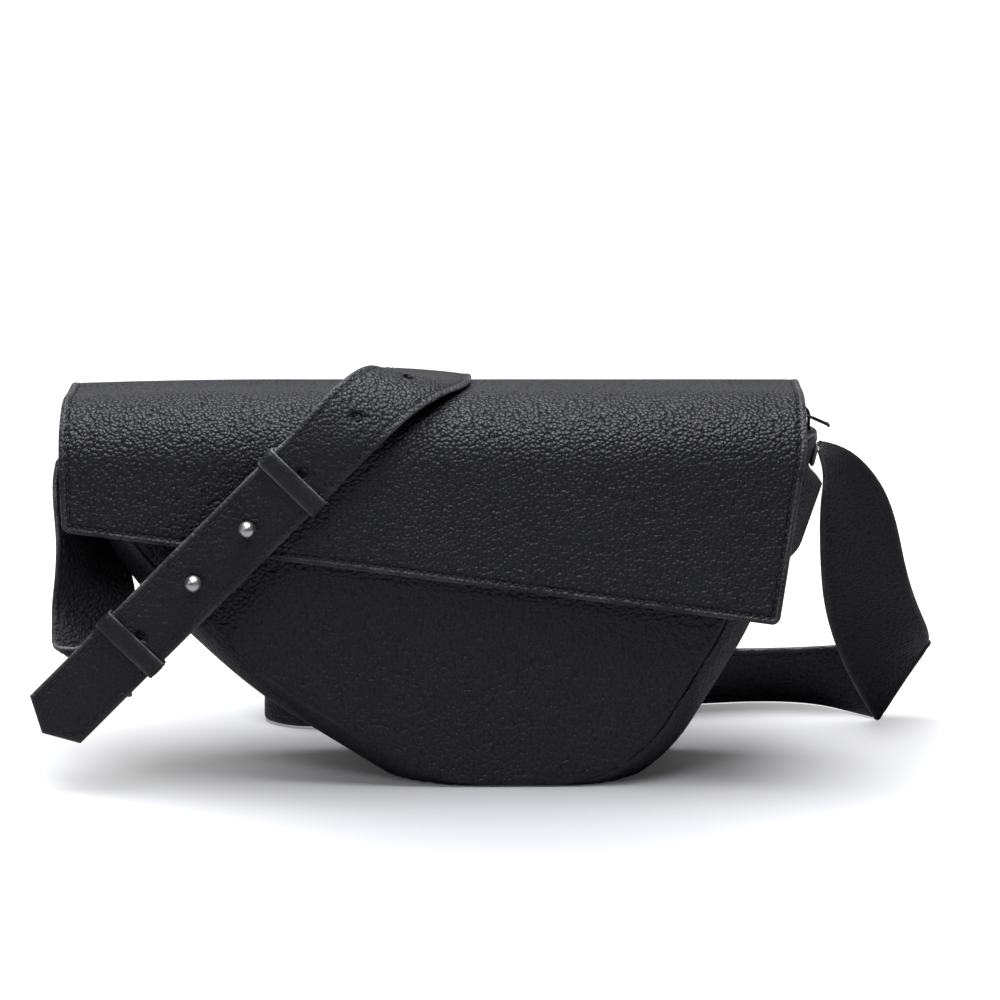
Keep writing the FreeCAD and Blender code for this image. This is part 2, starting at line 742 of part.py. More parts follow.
short_pairs = [edge_pair(Vector(left_anchor, seam_centre, anchor_height), (0, 1, 0), anchor_width)]
split_gap = mm("strap_split_gap")
short_middle = short_back + half_strap - split_gap - split_gap
short_join = front_place(-mm("short_start") - split_gap) - Y_AXIS * short_middle
for x, y, z, direction, width in SHORT_RUN_SHARES:
    centre_x = left_anchor + (short_join.x - left_anchor) * x
    centre_z = short_join.z + (anchor_height - short_join.z) * z
    short_pairs.append(edge_pair(Vector(centre_x, -y * short_back, centre_z), direction, width * strap_wide))
for lead in (mm("strap_lead"), 0):
    short_pairs.append(edge_pair(short_join - along * lead, across, mm("strap_narrow")))
form("strap_short_side", smooth_ribbon(short_pairs, run_steps))

# Leather tabs that hold the strap's ends on the gusset.
for side, sign in (("left", -1), ("right", 1)):
    top = anchor_height + mm("tab_height") / 2
    low = anchor_height - mm("tab_height") / 2
    inner_low = end_x(side, low) + sign * lining_gap
    inner_top = end_x(side, top) + sign * lining_gap
    outline = [
        Vector(inner_low, 0, low),
        Vector(inner_low + sign * tab_thick, 0, low),
        Vector(inner_top + sign * tab_thick, 0, top),
        Vector(inner_top, 0, top),
    ]
    tab = Part.Face(Part.makePolygon(outline + outline[:1]))
    tab.translate(Vector(0, seam_centre - anchor_width / 2, 0))
    form("strap_tab_" + side, tab.extrude(Vector(0, anchor_width, 0)))

# Ball studs screwed through the short half: base washer, neck and ball.
stud_turn = FreeCAD.Rotation(X_AXIS, 90)
for step, label in enumerate(("stud_lower", "stud_upper")):
    ball = bound("Part::Sphere", label + "_ball", Radius="stud_ball / 2")
    neck = bound("Part::Cylinder", label + "_neck", Radius="stud_neck / 2 - strap_layer_gap",
                 Height="2 * strap_thick + strap_layer_gap + stud_ball / 2")
    bind(ball, **{"Placement.Base.z": cell("2 * strap_thick + strap_layer_gap + stud_ball / 2")})
    stud = doc.addObject("Part::Fuse", label)
    stud.Base = neck
    stud.Tool = ball
    place = front_place(step * mm("hole_pitch")) - Y_AXIS * short_back
    stud.Placement = FreeCAD.Placement(place, stud_turn)
    keep(stud, label)

# Slotted screw heads behind the short half, one for each stud.
screws = []
for step in (0, 1):
    name = "screw_%d" % step
    head = bound("Part::Cylinder", name + "_head", Radius="screw_head / 2", Height="screw_head_thick")
    slot = bound("Part::Box", name + "_slot", Length="2 * screw_head", Width="screw_slot",
                 Height="screw_slot_depth + screw_head_thick")
    bind(slot, **{
        "Placement.Base.x": cell("0 - screw_head"),
        "Placement.Base.y": cell("0 - screw_slot / 2"),
        "Placement.Base.z": cell("screw_head_thick - screw_slot_depth"),
    })
    screw = doc.addObject("Part::Cut", name)
    screw.Base = head
    screw.Tool = slot
    place = front_place(step * mm("hole_pitch")) - Y_AXIS * short_back
    screw.Placement = FreeCAD.Placement(place, FreeCAD.Rotation(X_AXIS, -90))
    screws.append(screw)
stud_screws = doc.addObject("Part::Compound", "stud_screws")
stud_screws.Links = screws
keep(stud_screws, "stud_screws")

# Keeper loops: a rectangular ring padded along the strap.
stack = "2 * strap_thick + strap_layer_gap"
stack_depth = 2 * strap_thick + mm("strap_layer_gap")
slack = " + 2 * keeper_slack"
walls = " + 2 * keeper_wall"
ring_turn = FreeCAD.Rotation(across, Y_AXIS, along, "ZXY")
for label, place in (("tip_keeper", mm("tip_keeper_place")), ("inner_keeper", mm("inner_keeper_place"))):
    loop = doc.addObject("PartDesign::Body", label)
    ring = new_sketch(loop, label + "_ring", "XY_Plane")
    centred_rectangle(ring, "outer", "strap_narrow" + slack + walls, stack + slack + walls)
    centred_rectangle(ring, "inner", "strap_narrow" + slack, stack + slack)
    pad = loop.newObject("PartDesign::Pad", label + "_pad")
    pad.Profile = ring
    bind(pad, Length=cell("keeper_length"))
    base = front_place(place - mm("keeper_length") / 2) - Y_AXIS * (short_back + stack_depth / 2)
    loop.Placement = FreeCAD.Placement(base, ring_turn)
    keep(loop, label)

# Zip: two tapes, each with its row of teeth clamped on the inner edge.
zip_left = mm("zip_left")
zip_right = mm("zip_right")
tooth_pitch = mm("tooth_pitch")
tooth_length = mm("tooth_length")
tooth_depth = mm("tooth_depth")
tooth_height = mm("tooth_height")
tooth_tip = mm("tooth_tip_gap")
tape_edge = "tooth_tip_gap + tooth_depth"
for side, sign in (("front", -1), ("back", 1)):
    tape = bound("Part::Box", "zip_tape_" + side, Length="zip_right - zip_left", Width="tape_width",
                 Height="tape_thick")
    bind(tape, **{
        "Placement.Base.x": cell("zip_left"),
        "Placement.Base.y": cell(tape_edge if sign > 0 else "0 - tape_width - tooth_tip_gap - tooth_depth"),
        "Placement.Base.z": cell("mouth_height - tape_drop - tape_thick"),
    })
    keep(tape, "zip_tape_" + side)
    count = int((zip_right - zip_left - tooth_pitch) / tooth_pitch)
    stagger = tooth_pitch / 2 if sign > 0 else 0
    teeth = []
    for index in range(count):
        low = zip_left + stagger + index * tooth_pitch
        near = tooth_tip if sign > 0 else -tooth_tip - tooth_depth
        teeth.append(block(low, low + tooth_length, near, near + tooth_depth, tooth_low, tooth_top))
    form("zip_teeth_" + side, Part.makeCompound(teeth))

# Slider: two plates on a thin post, with a wire bridge on top.
slider_x = mm("slider_place")
plate_low = tooth_top + mm("slider_gap")
plate_top = plate_low + mm("slider_plate")
bridge_z = plate_top + mm("bridge_rise")
plates = []
for name, low in (("slider_top_plate", plate_low), ("slider_under_plate", under_low)):
    plate = bound("Part::Box", name, Length="slider_length", Width="slider_width", Height="slider_plate")
    corner = Vector(slider_x - mm("slider_length") / 2, -mm("slider_width") / 2, low)
    plate.Placement = FreeCAD.Placement(corner, FreeCAD.Rotation())
    plates.append(plate)
post = bound("Part::Box", "slider_post_wall", Length="slider_post_length", Width="slider_post",
             Height="tooth_height + 2 * slider_gap + slider_plate")
half_plate = mm("slider_plate") / 2
post_corner = Vector(slider_x - mm("slider_post_length") / 2, -mm("slider_post") / 2, under_low + half_plate)
post.Placement = FreeCAD.Placement(post_corner, FreeCAD.Rotation())
bridge = bound("Part::Torus", "slider_bridge", Radius1="bridge_radius", Radius2="bridge_wire")
bridge.Angle3 = 180
bridge.Placement = FreeCAD.Placement(Vector(slider_x, 0, bridge_z), FreeCAD.Rotation(X_AXIS, 90))
legs = []
for name, sign in (("slider_left_leg", -1), ("slider_right_leg", 1)):
    leg = bound("Part::Cylinder", name, Radius="bridge_wire", Height="bridge_rise + slider_plate / 2")
    foot = Vector(slider_x + sign * mm("bridge_radius"), 0, plate_top - half_plate)
    leg.Placement = FreeCAD.Placement(foot, FreeCAD.Rotation())
    legs.append(leg)
slider = doc.addObject("Part::MultiFuse", "zip_slider")
slider.Shapes = plates + [post, bridge] + legs
keep(slider, "zip_slider")

# Puller: an eye round the bridge's right leg, a thin bar and a short cross end.
eye = bound("Part::Torus", "puller_eye_ring", Radius1="puller_eye", Radius2="puller_wire")
bar = bound("Part::Cylinder", "puller_bar_rod", Radius="puller_bar", Height="puller_length")
bar.Placement = FreeCAD.Placement(Vector(mm("puller_eye"), 0, 0), FreeCAD.Rotation(Y_AXIS, 90))
end = bound("Part::Cylinder", "puller_cross_end", Radius="puller_bar", Height="puller_end_length")
end_place = Vector(mm("puller_eye") + mm("puller_length"), mm("puller_end_length") / 2, 0)
end.Placement = FreeCAD.Placement(end_place, FreeCAD.Rotation(X_AXIS, 90))
puller = doc.addObject("Part::MultiFuse", "zip_puller")
puller.Shapes = [eye, bar, end]
puller.Placement = FreeCAD.Placement(Vector(slider_x + mm("bridge_radius"), 0, bridge_z),
                                     FreeCAD.Rotation(Y_AXIS, mm("puller_angle")))
keep(puller, "zip_puller")

doc.recompute()
for item in doc.Objects:
    for state in item.State:
        if state in ("Invalid", "Error"):
            raise RuntimeError("%s failed: %s" % (item.Label, item.State))
for part in parts:
    if part.Shape.isNull() or not part.Shape.isValid():
        raise RuntimeError("%s has no valid shape" % part.Label)

os.makedirs("parts", exist_ok=True)
for part in parts:
    part.Shape.exportStep("parts/%s.step" % part.Label)
    print("%-20s solids %3d  volume %10.1f" % (part.Label, len(part.Shape.Solids), part.Shape.Volume))
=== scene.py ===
import math

import bmesh
import bpy
import numpy as np
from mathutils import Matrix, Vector


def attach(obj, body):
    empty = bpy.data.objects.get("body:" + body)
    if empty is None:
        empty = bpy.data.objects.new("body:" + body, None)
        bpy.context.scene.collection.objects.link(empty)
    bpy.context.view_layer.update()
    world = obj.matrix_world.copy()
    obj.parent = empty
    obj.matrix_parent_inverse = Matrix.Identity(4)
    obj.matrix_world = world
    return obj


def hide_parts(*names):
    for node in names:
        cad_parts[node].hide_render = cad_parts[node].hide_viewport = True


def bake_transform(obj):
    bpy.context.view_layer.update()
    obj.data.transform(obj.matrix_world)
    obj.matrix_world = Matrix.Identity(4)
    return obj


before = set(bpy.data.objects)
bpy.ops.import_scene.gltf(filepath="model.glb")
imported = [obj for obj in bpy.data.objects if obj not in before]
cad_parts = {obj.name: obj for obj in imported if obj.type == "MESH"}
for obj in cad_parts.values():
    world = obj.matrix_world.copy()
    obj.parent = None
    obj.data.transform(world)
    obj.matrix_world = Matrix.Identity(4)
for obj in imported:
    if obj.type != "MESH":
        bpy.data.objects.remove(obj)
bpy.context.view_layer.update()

mm = 0.001

# Camera: a long portrait lens straight in front of the bag and a little above it.
camera_aim = Vector((-4.2, 0.0, 116.2)) * mm
camera_rise = math.radians(12)
camera_distance = 1576 * mm
camera_data = bpy.data.cameras.new("camera")
camera_data.sensor_width = 36
camera_data.lens = 134.5
camera = bpy.data.objects.new("camera", camera_data)
bpy.context.collection.objects.link(camera)
camera.location = camera_aim + camera_distance * Vector((0, -math.cos(camera_rise), math.sin(camera_rise)))
camera.rotation_euler = (camera_aim - camera.location).to_track_quat("-Z", "Y").to_euler()
bpy.context.scene.camera = camera
bpy.context.scene.view_settings.view_transform = "Standard"

# Studio floor: a white sheet of paper that runs back and curves up behind the bag.
# It is matt and takes the bag's shadow. It glows for camera rays and turns to plain white away from the
# bag; the glow is held back near the bag, so the floor there is darker, painted shade round the real
# shadow. Behind the bag it also glows for glossy rays, a painted reflection in the leather.
floor_half_width = 3000 * mm
floor_front = -3000 * mm
floor_near = 800 * mm
sweep_start = 1500 * mm
sweep_radius = 800 * mm
sweep_steps = 12
wall_height = 3200 * mm
floor_line = [(floor_front, 0.0), (-floor_near, 0.0), (floor_near, 0.0)]
for step in range(sweep_steps + 1):
    angle = math.pi / 2 * step / sweep_steps
    floor_line.append((sweep_start + sweep_radius * math.sin(angle), sweep_radius * (1 - math.cos(angle))))
floor_line.append((sweep_start + sweep_radius, wall_height))
floor_points = [(x, y, z) for y, z in floor_line for x in (-floor_half_width, floor_half_width)]
floor_faces = [(2 * i, 2 * i + 1, 2 * i + 3, 2 * i + 2) for i in range(len(floor_line) - 1)]
floor_mesh = bpy.data.meshes.new("paper_floor")
floor_mesh.from_pydata(floor_points, [], floor_faces)
floor_mesh.shade_smooth()
floor = bpy.data.objects.new("paper_floor", floor_mesh)
bpy.context.collection.objects.link(floor)


def fill(tree, made, inputs):
    # Sets a node's inputs by place or name; one that is given another node's output is wired to it.
    for place, value in inputs.items():
        if isinstance(value, bpy.types.NodeSocket):
            tree.links.new(value, made.inputs[place])
        else:
            made.inputs[place].default_value = value


def node(tree, kind, output, *feeds, **settings):
    # Adds a shader node and gives one of its outputs. Feeds fill its inputs in order, and settings
    # are options of the node or inputs by name.
    made = tree.nodes.new("ShaderNode" + kind)
    inputs = dict(enumerate(feeds))
    for name, value in settings.items():
        if hasattr(made, name):
            setattr(made, name, value)
        else:
            inputs[name.replace("_", " ")] = value
    fill(tree, made, inputs)
    return made.outputs[output]


def remap(tree, value, low, high, new_low, new_high, **settings):
    return node(tree, "MapRange", "Result", value, low, high, new_low, new_high, **settings)


def figure(tree, operation, *feeds):
    return node(tree, "Math", "Value", *feeds, operation=operation)


paper = bpy.data.materials.new("white_paper")
paper.use_nodes = True
tree = paper.node_tree
tree.nodes.remove(tree.nodes["Principled BSDF"])
spot = node(tree, "TexCoord", "Object")
away = node(tree, "VectorMath", "Value", spot, operation="LENGTH")
# Painted shade: the camera glow is held back within about 300 mm of the bag, darkening the floor round its
# real shadow.
painted_shade_fade = remap(tree, away, 0.05, 0.31, 0.03, 1.0, interpolation_type="SMOOTHSTEP")
depth = node(tree, "SeparateXYZ", "Y", spot)
# Painted reflection: the paper behind the bag glows for glossy rays, so the leather mirrors a bright
# backdrop.
behind = remap(tree, depth, 0.3, 1.2, 0.0, 0.6)
glossy_ray = node(tree, "LightPath", "Is Glossy Ray")
camera_ray = node(tree, "LightPath", "Is Camera Ray")
seen = figure(tree, "MAXIMUM", figure(tree, "MULTIPLY", behind, glossy_ray), camera_ray)
painted_glow = figure(tree, "MULTIPLY", painted_shade_fade, seen)
paper_matt = node(tree, "BsdfDiffuse", "BSDF", Color=(0.36, 0.36, 0.37, 1))
paper_painted_glow = node(tree, "Emission", "Emission", Color=(1, 1, 1, 1), Strength=painted_glow)
paper_sum = node(tree, "AddShader", "Shader", paper_matt, paper_painted_glow)
tree.links.new(paper_sum, tree.nodes["Material Output"].inputs["Surface"])
floor_mesh.materials.append(paper)

# Studio light: one wide soft box overhead, three weak ones in front and at the sides, and a dim
# room that the camera sees as plain white.
world = bpy.data.worlds.new("dim_room")
bpy.context.scene.world = world
world.use_nodes = True
tree = world.node_tree
fill(tree, tree.nodes["Background"], {"Color": (0.95, 0.97, 1.0, 1), "Strength": 0.04})
room_light = tree.nodes["Background"].outputs[0]
room_seen = node(tree, "Background", "Background", Color=(1, 1, 1, 1), Strength=1.0)
room_rays = node(tree, "LightPath", "Is Camera Ray")
room_mix = node(tree, "MixShader", "Shader", room_rays, room_light, room_seen)
tree.links.new(room_mix, tree.nodes["World Output"].inputs["Surface"])


def soft_box(name, place, aim, width, depth, power):
    lamp_data = bpy.data.lights.new(name, "AREA")
    lamp_data.shape = "RECTANGLE"
    lamp_data.size = width
    lamp_data.size_y = depth
    lamp_data.energy = power
    lamp_data.color = (0.965, 0.97, 1.0)
    lamp = bpy.data.objects.new(name, lamp_data)
    bpy.context.collection.objects.link(lamp)
    lamp.location = place
    lamp.rotation_euler = (Vector(aim) - Vector(place)).to_track_quat("-Z", "Y").to_euler()


bag_middle = (0.0, 0.0, 90 * mm)
soft_box("overhead_box", (-60 * mm, -70 * mm, 1150 * mm), (0.0, 0.0, 0.0), 1000 * mm, 400 * mm, 28)
soft_box("front_box", (-250 * mm, -800 * mm, 1000 * mm), bag_middle, 500 * mm, 300 * mm, 4.5)
soft_box("left_box", (-1300 * mm, -900 * mm, 700 * mm), bag_middle, 500 * mm, 900 * mm, 2.4)
soft_box("right_box", (1300 * mm, -900 * mm, 700 * mm), bag_middle, 500 * mm, 900 * mm, 0.7)

# Gusset: one long band of pebbled leather that forms the sides and base, sewn to both panels.
# It swells out between the seams, puckers a little along them, and lies flat where the bag stands.
leather_thick = 2 * mm
mouth_height = 146 * mm
outline_width = 299 * mm
outline_height = 156 * mm
front_seam = 33 * mm
back_seam = 29.5 * mm
gusset_bulge = 13.5 * mm
left_share = 0.602
right_share = 0.398
# Corners of the half-moon from the rim at the left to the rim at the right: shares of its width and
# height, and the share of its height by which the corner is rounded.
OUTLINE_SHARES = [
    (-left_share, 1.0, 0.0),
    (-0.545, 0.724, 0.77),
    (-0.361, 0.3205, 1.28),
    (-0.097, 0.0, 0.51),
    (0.164, 0.0, 0.385),
    (0.304, 0.455, 0.96),
    (right_share, 1.0, 0.0),
]
# How far the front (-1) and the back panel (1) stand out, and the radius of their crown.
CROWNS = {-1: (35 * mm, 2500 * mm), 1: (30.9 * mm, 5000 * mm)}
crown_centre = (-30 * mm, 80 * mm)
# The slack fold at the right end: where it starts and is full, and where it ends below the rim.
fold_low = 86 * mm
fold_rise = 20 * mm
fold_high = 136.5 * mm
fold_fall = 6 * mm
# The weaker one at the left end.
left_fold_share = 0.36
left_fold_height = 88 * mm
left_fold_spread = 16 * mm
rim_band = 10 * mm
slider_space = 1.2 * mm
pucker_wave = 3.1 * mm
pucker_drift = 23 * mm
pucker_reach = 5 * mm
seam_groove = (1.2 * mm, 1.4 * mm)
BAND_EDGE = np.array((0, 0.006, 0.015, 0.03))
BAND_SHARES = np.concatenate((BAND_EDGE, np.linspace(0.055, 0.945, 19), 1 - BAND_EDGE[::-1]))


def share_along(value, start, length):
    return np.clip((value - start) / length, 0, 1)


def smooth(share):
    return share ** 2 * (3 - 2 * share)


def panel_face(towards, x, z):
    # Depth of a panel's crowned outer face.
    reach, radius = CROWNS[towards]
    fall = ((x - crown_centre[0]) ** 2 + (z - crown_centre[1]) ** 2) / (2 * radius)
    return towards * (reach - fall)


def point_at_height(low, high, height):
    return low + (high - low) * (height - low[1]) / (high[1] - low[1])


outline_corners = [np.array((x * outline_width, z * outline_height)) for x, z, _ in OUTLINE_SHARES]
rim_left = point_at_height(outline_corners[1], outline_corners[0], mouth_height)
rim_right = point_at_height(outline_corners[-2], outline_corners[-1], mouth_height)


def path_lengths(path):
    return np.concatenate(([0], np.cumsum(np.linalg.norm(np.diff(path, axis=0), axis=1))))


def at_lengths(lengths, run, path):
    return np.stack([np.interp(lengths, run, path[:, axis]) for axis in range(path.shape[1])], axis=1)


def half_moon(margin, spacing):
    # The half-moon outline as evenly spaced points and outward directions, from the rim at the
    # left, round the base, to the rim at the right.
    points = [rim_left]
    triples = zip(outline_corners, outline_corners[1:], outline_corners[2:])
    for (before, here, after), (_, _, rounding) in zip(triples, OUTLINE_SHARES[1:]):
        back = (before - here) / np.linalg.norm(before - here)
        ahead = (after - here) / np.linalg.norm(after - here)
        half = math.acos(float(back @ ahead)) / 2
        radius = rounding * outline_height
        centre = here + (back + ahead) / np.linalg.norm(back + ahead) * radius / math.sin(half)
        start = here + back * radius / math.tan(half) - centre
        sweep = math.pi - 2 * half
        steps = max(4, int(radius * sweep / spacing))
        for step in range(steps + 1):
            turn = sweep * step / steps
            arm_x = start[0] * math.cos(turn) - start[1] * math.sin(turn)
            arm_z = start[0] * math.sin(turn) + start[1] * math.cos(turn)
            points.append(centre + np.array((arm_x, arm_z)))
    line = np.array(points + [rim_right])
    run = path_lengths(line)
    even = np.linspace(0, run[-1], int(run[-1] / spacing) + 1)
    line = at_lengths(even, run, line)
    heading = np.gradient(line, axis=0)
    heading /= np.linalg.norm(heading, axis=1, keepdims=True)
    outward = np.stack((heading[:, 1], -heading[:, 0]), axis=1)
    return line + outward * margin, outward, even


def grid_normals(grid):
    normal = np.cross(np.gradient(grid, axis=0), np.gradient(grid, axis=1))
    return normal / np.maximum(np.linalg.norm(normal, axis=2, keepdims=True), 1e-12)


def closed_sheet(middle, normal, outer, inner, wear_and_highlight, loop=False):
    # A closed sheet from a grid: an outer and an inner face that meet along the grid's border.
    rows, columns = outer.shape
    border = np.zeros((rows, columns), bool)
    border[:, [0, -1]] = True
    if not loop:
        border[[0, -1], :] = True
    top = np.arange(rows * columns).reshape(rows, columns)
    under = top.copy()
    under[~border] = rows * columns + np.arange((~border).sum())
    front = middle + normal * outer[..., None]
    back = middle + normal * inner[..., None]
    points = np.concatenate((front.reshape(-1, 3), back[~border]))
    wear_and_highlight_values = np.concatenate((wear_and_highlight.reshape(-1), wear_and_highlight[~border]))
    here = np.arange(rows if loop else rows - 1)
    ahead = (here + 1) % rows
    faces = []
    for index, order in ((top, (0, 1, 2, 3)), (under, (0, 3, 2, 1))):
        corners = (index[here][:, :-1], index[here][:, 1:], index[ahead][:, 1:], index[ahead][:, :-1])
        faces += np.stack([corners[place] for place in order], axis=2).reshape(-1, 4).tolist()
    marks = [0] * (len(faces) // 2) + [1] * (len(faces) // 2)
    return points, faces, marks, wear_and_highlight_values


def piece(name, shells, finishes):
    # One object from several shells; each shell's marks choose among the finishes.
    points = []
    faces = []
    marks = []
    wear_and_highlight_values = []
    for shell_points, shell_faces, shell_marks, shell_wear_and_highlight in shells:
        first = len(points)
        points.extend(np.asarray(shell_points).tolist())
        faces.extend([tuple(first + corner for corner in face) for face in shell_faces])
        marks.extend(shell_marks)
        wear_and_highlight_values.extend(shell_wear_and_highlight)
    mesh = bpy.data.meshes.new(name)
    mesh.from_pydata(points, [], faces)
    for finish in finishes:
        mesh.materials.append(finish)
    mesh.polygons.foreach_set("material_index", marks)
    worn_and_highlit_edge = mesh.attributes.new("worn_and_highlit_edge", "FLOAT", "POINT")
    worn_and_highlit_edge.data.foreach_set("value", np.array(wear_and_highlight_values, np.float32))
    work = bmesh.new()
    work.from_mesh(mesh)
    bmesh.ops.remove_doubles(work, verts=work.verts, dist=0.002 * mm)
    bmesh.ops.dissolve_degenerate(work, edges=work.edges, dist=0.001 * mm)
    bmesh.ops.recalc_face_normals(work, faces=work.faces)
    work.to_mesh(mesh)
    work.free()
    mesh.shade_smooth()
    made = bpy.data.objects.new(name, mesh)
    bpy.context.collection.objects.link(made)
    return made


def rounded_edge(distance, half, round_over):
    # Half thickness of a sheet at a distance from its rounded edge.
    share = np.clip(distance / round_over, 0, 1)
    return half * np.sqrt(np.maximum(1 - (1 - share) ** 2, 0))


def dip(distance, line, width, depth):
    # Depth of a soft groove along a line.
    return depth * np.exp(-((distance - line) / width) ** 2)


def edge_wear_and_highlight(distance):
    # How far an edge is pale, from 1 at the edge: partly rubbed wear, partly a painted highlight along the
    # edge.
    return np.exp(-distance / (0.6 * mm))


def start_finish(name):
    finish = bpy.data.materials.new(name)
    finish.use_nodes = True
    return finish, finish.node_tree, node(finish.node_tree, "TexCoord", "Object")


def end_finish(finish, **inputs):
    named = {name.replace("_", " "): value for name, value in inputs.items()}
    fill(finish.node_tree, finish.node_tree.nodes["Principled BSDF"], named)
    return finish


def mix(tree, share, first, second, blend="MIX"):
    return node(tree, "Mix", "Result", data_type="RGBA", blend_type=blend, Factor=share, A=first, B=second)


def leather_finish(name, colour, crease_shade_colour, cell, depth, rough, lean=0.0, stretch=1.0):
    # Pebbled leather: rounded cells parted by fine creases painted darker as painted shade, with soft
    # patches of lighter and darker tone, gloss that changes over each pebble, and pale edges that are
    # partly wear and partly a painted highlight.
    finish, tree, spot = start_finish(name)
    turn = node(tree, "Mapping", "Vector", spot, Rotation=(0, lean, 0), Scale=(1, 1, stretch))
    sway = node(tree, "TexNoise", "Color", turn, Scale=0.35 / cell, Detail=2.0)
    grain = node(tree, "VectorMath", "Vector", sway, (0.9 * cell,) * 3, turn, operation="MULTIPLY_ADD")
    cells = {"Scale": 1 / cell, "Randomness": 0.95}
    gaps = node(tree, "TexVoronoi", "Distance", grain, feature="DISTANCE_TO_EDGE", **cells)
    crease = remap(tree, gaps, 0.0, 0.16, 0.0, 1.0, interpolation_type="SMOOTHSTEP")
    domes = node(tree, "TexVoronoi", "Distance", grain, feature="F1", **cells)
    pebble = figure(tree, "MULTIPLY_ADD", figure(tree, "MULTIPLY", domes, domes), -1.4, 1.0)
    pores = node(tree, "TexNoise", "Fac", grain, Scale=5 / cell, Detail=3.0, Roughness=0.6)
    height = figure(tree, "MULTIPLY_ADD", pores, 0.12, pebble)
    bump = node(tree, "Bump", "Normal", Strength=1.0, Distance=depth, Height=height)
    patches = node(tree, "TexNoise", "Fac", spot, Scale=22.0, Detail=3.0)
    shade = remap(tree, patches, 0.3, 0.7, 0.82, 1.2)
    # The darker crease colour is painted shade in the fine creases between the pebbles.
    paint = mix(tree, 1.0, mix(tree, crease, crease_shade_colour, colour), shade, "MULTIPLY")
    rubs_and_highlight_breaks = node(tree, "TexNoise", "Fac", spot, Scale=60.0, Detail=3.0)
    edge = node(tree, "Attribute", "Fac", attribute_name="worn_and_highlit_edge")
    wear_and_highlight_share = figure(tree, "MULTIPLY", edge, remap(tree, rubs_and_highlight_breaks, 0.35, 0.65, 0.15, 1.0))
    # Pale grey on the edges, broken up by noise: partly rubbed wear, partly a painted highlight along the
    # edges.
    wear_and_highlight = mix(tree, wear_and_highlight_share, paint, (0.13, 0.131, 0.137, 1))
    gloss = remap(tree, pebble, 0.2, 0.9, rough + 0.14, rough)
    return end_finish(finish, Base_Color=wear_and_highlight, Roughness=gloss, Normal=bump, Specular_IOR_Level=0.32)


black = (0.006, 0.0064, 0.0102, 1)
# Painted shade for the creases of the black leathers.
crease_shade_black = (0.002, 0.0021, 0.0033, 1)
body_leather = leather_finish("body_leather", black, crease_shade_black,
                              cell=1.7 * mm, depth=0.5 * mm, rough=0.46)
suede_side = leather_finish("leather_back", (0.02, 0.02, 0.022, 1), (0.012, 0.012, 0.013, 1),
                            cell=0.7 * mm, depth=0.08 * mm, rough=0.78)


def rim_fade(height, top):
    # Near the rim the gusset swells straight sideways, so its upper edge stays level.
    return smooth(share_along(top - height, 0, rim_band))


def gusset_band(name, finishes, margin, sink, thick, floor_height, top, spacing, pucker, slack):
    # A band between the panels: margin inside the outline, sunk in from the seams, with pucker and slack.
    line, outward, run = half_moon(-margin, spacing)
    keep = line[:, 1] <= top + spacing
    line, outward, run = line[keep], outward[keep], run[keep]
    side, height = line.T
    start = panel_face(-1, side, height) + leather_thick / 2 + margin + sink
    end = panel_face(1, side, height) - leather_thick / 2 - margin - sink
    depth = start[:, None] + (end - start)[:, None] * BAND_SHARES
    share = (depth + front_seam) / (front_seam + back_seam)
    rise = smooth(share_along(height, fold_low, fold_rise))
    fall = smooth(share_along(fold_high - height, 0, fold_fall))
    right_slack = slack * rise * fall * (side > 0)
    left_slack = left_fold_share * slack * dip(height, left_fold_height, left_fold_spread, 1) * (side < 0)
    slider_room = slider_space * (1 - rim_fade(height, top)) * (side > 0)
    bulge = gusset_bulge + right_slack + left_slack + slider_room
    swell = bulge[:, None] * 4 * share * (1 - share)
    nearest = np.minimum(depth - start[:, None], end[:, None] - depth)
    ripple = np.sin(run / pucker_wave + 1.7 * np.sin(run / pucker_drift))[:, None]
    swell += pucker * ripple * np.exp(-nearest / pucker_reach) - dip(nearest, 0, *seam_groove)
    x = side[:, None] + outward[:, 0, None] * swell
    drop = (outward[:, 1] * rim_fade(height, top))[:, None] * swell
    z = np.clip(height[:, None] + drop, floor_height, top)
    grid = np.stack((x, depth, z), axis=2)
    normal = grid_normals(grid)
    facing = normal[..., 0] * outward[:, 0, None] + normal[..., 2] * outward[:, 1, None]
    normal = normal * np.where(facing < 0, -1, 1)[..., None]
    lip = np.minimum(nearest, np.abs(top - z))
    half = rounded_edge(lip, thick / 2, thick / 2)
    shell = closed_sheet(grid, normal, half - thick / 2, -half - thick / 2, edge_wear_and_highlight(lip) * 0.5)
    return piece(name, [shell], finishes)


gusset = gusset_band("gusset_leather", [body_leather, suede_side], margin=0.0, sink=1.5 * mm,
                     thick=leather_thick, floor_height=0.0, top=mouth_height, spacing=2.0 * mm,
                     pucker=0.22 * mm, slack=8.3 * mm)
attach(gusset, "bag")
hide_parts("gusset")

# Front and back panels: half-moons of pebbled leather, stuffed out a little by what is inside,
# with their edges turned in at the seam to the gusset. The front one is bare and unmarked.
panel_heart = np.array((-25 * mm, 92 * mm))
PANEL_STEPS = np.array((0, 0.25, 0.7, 1.3, 2.1, 3.0, 4.2, 6, 9, 13, 18, 24)) * mm
PANEL_SHARES = np.linspace(0.47, 1.0, 12)
panel_spacing = 3 * mm
panel_rim_spacing = 4 * mm
panel_round = 2.6 * mm
panel_wave = 0.35 * mm
panel_floor = 0.3 * mm
panel_turn = 2.2 * mm


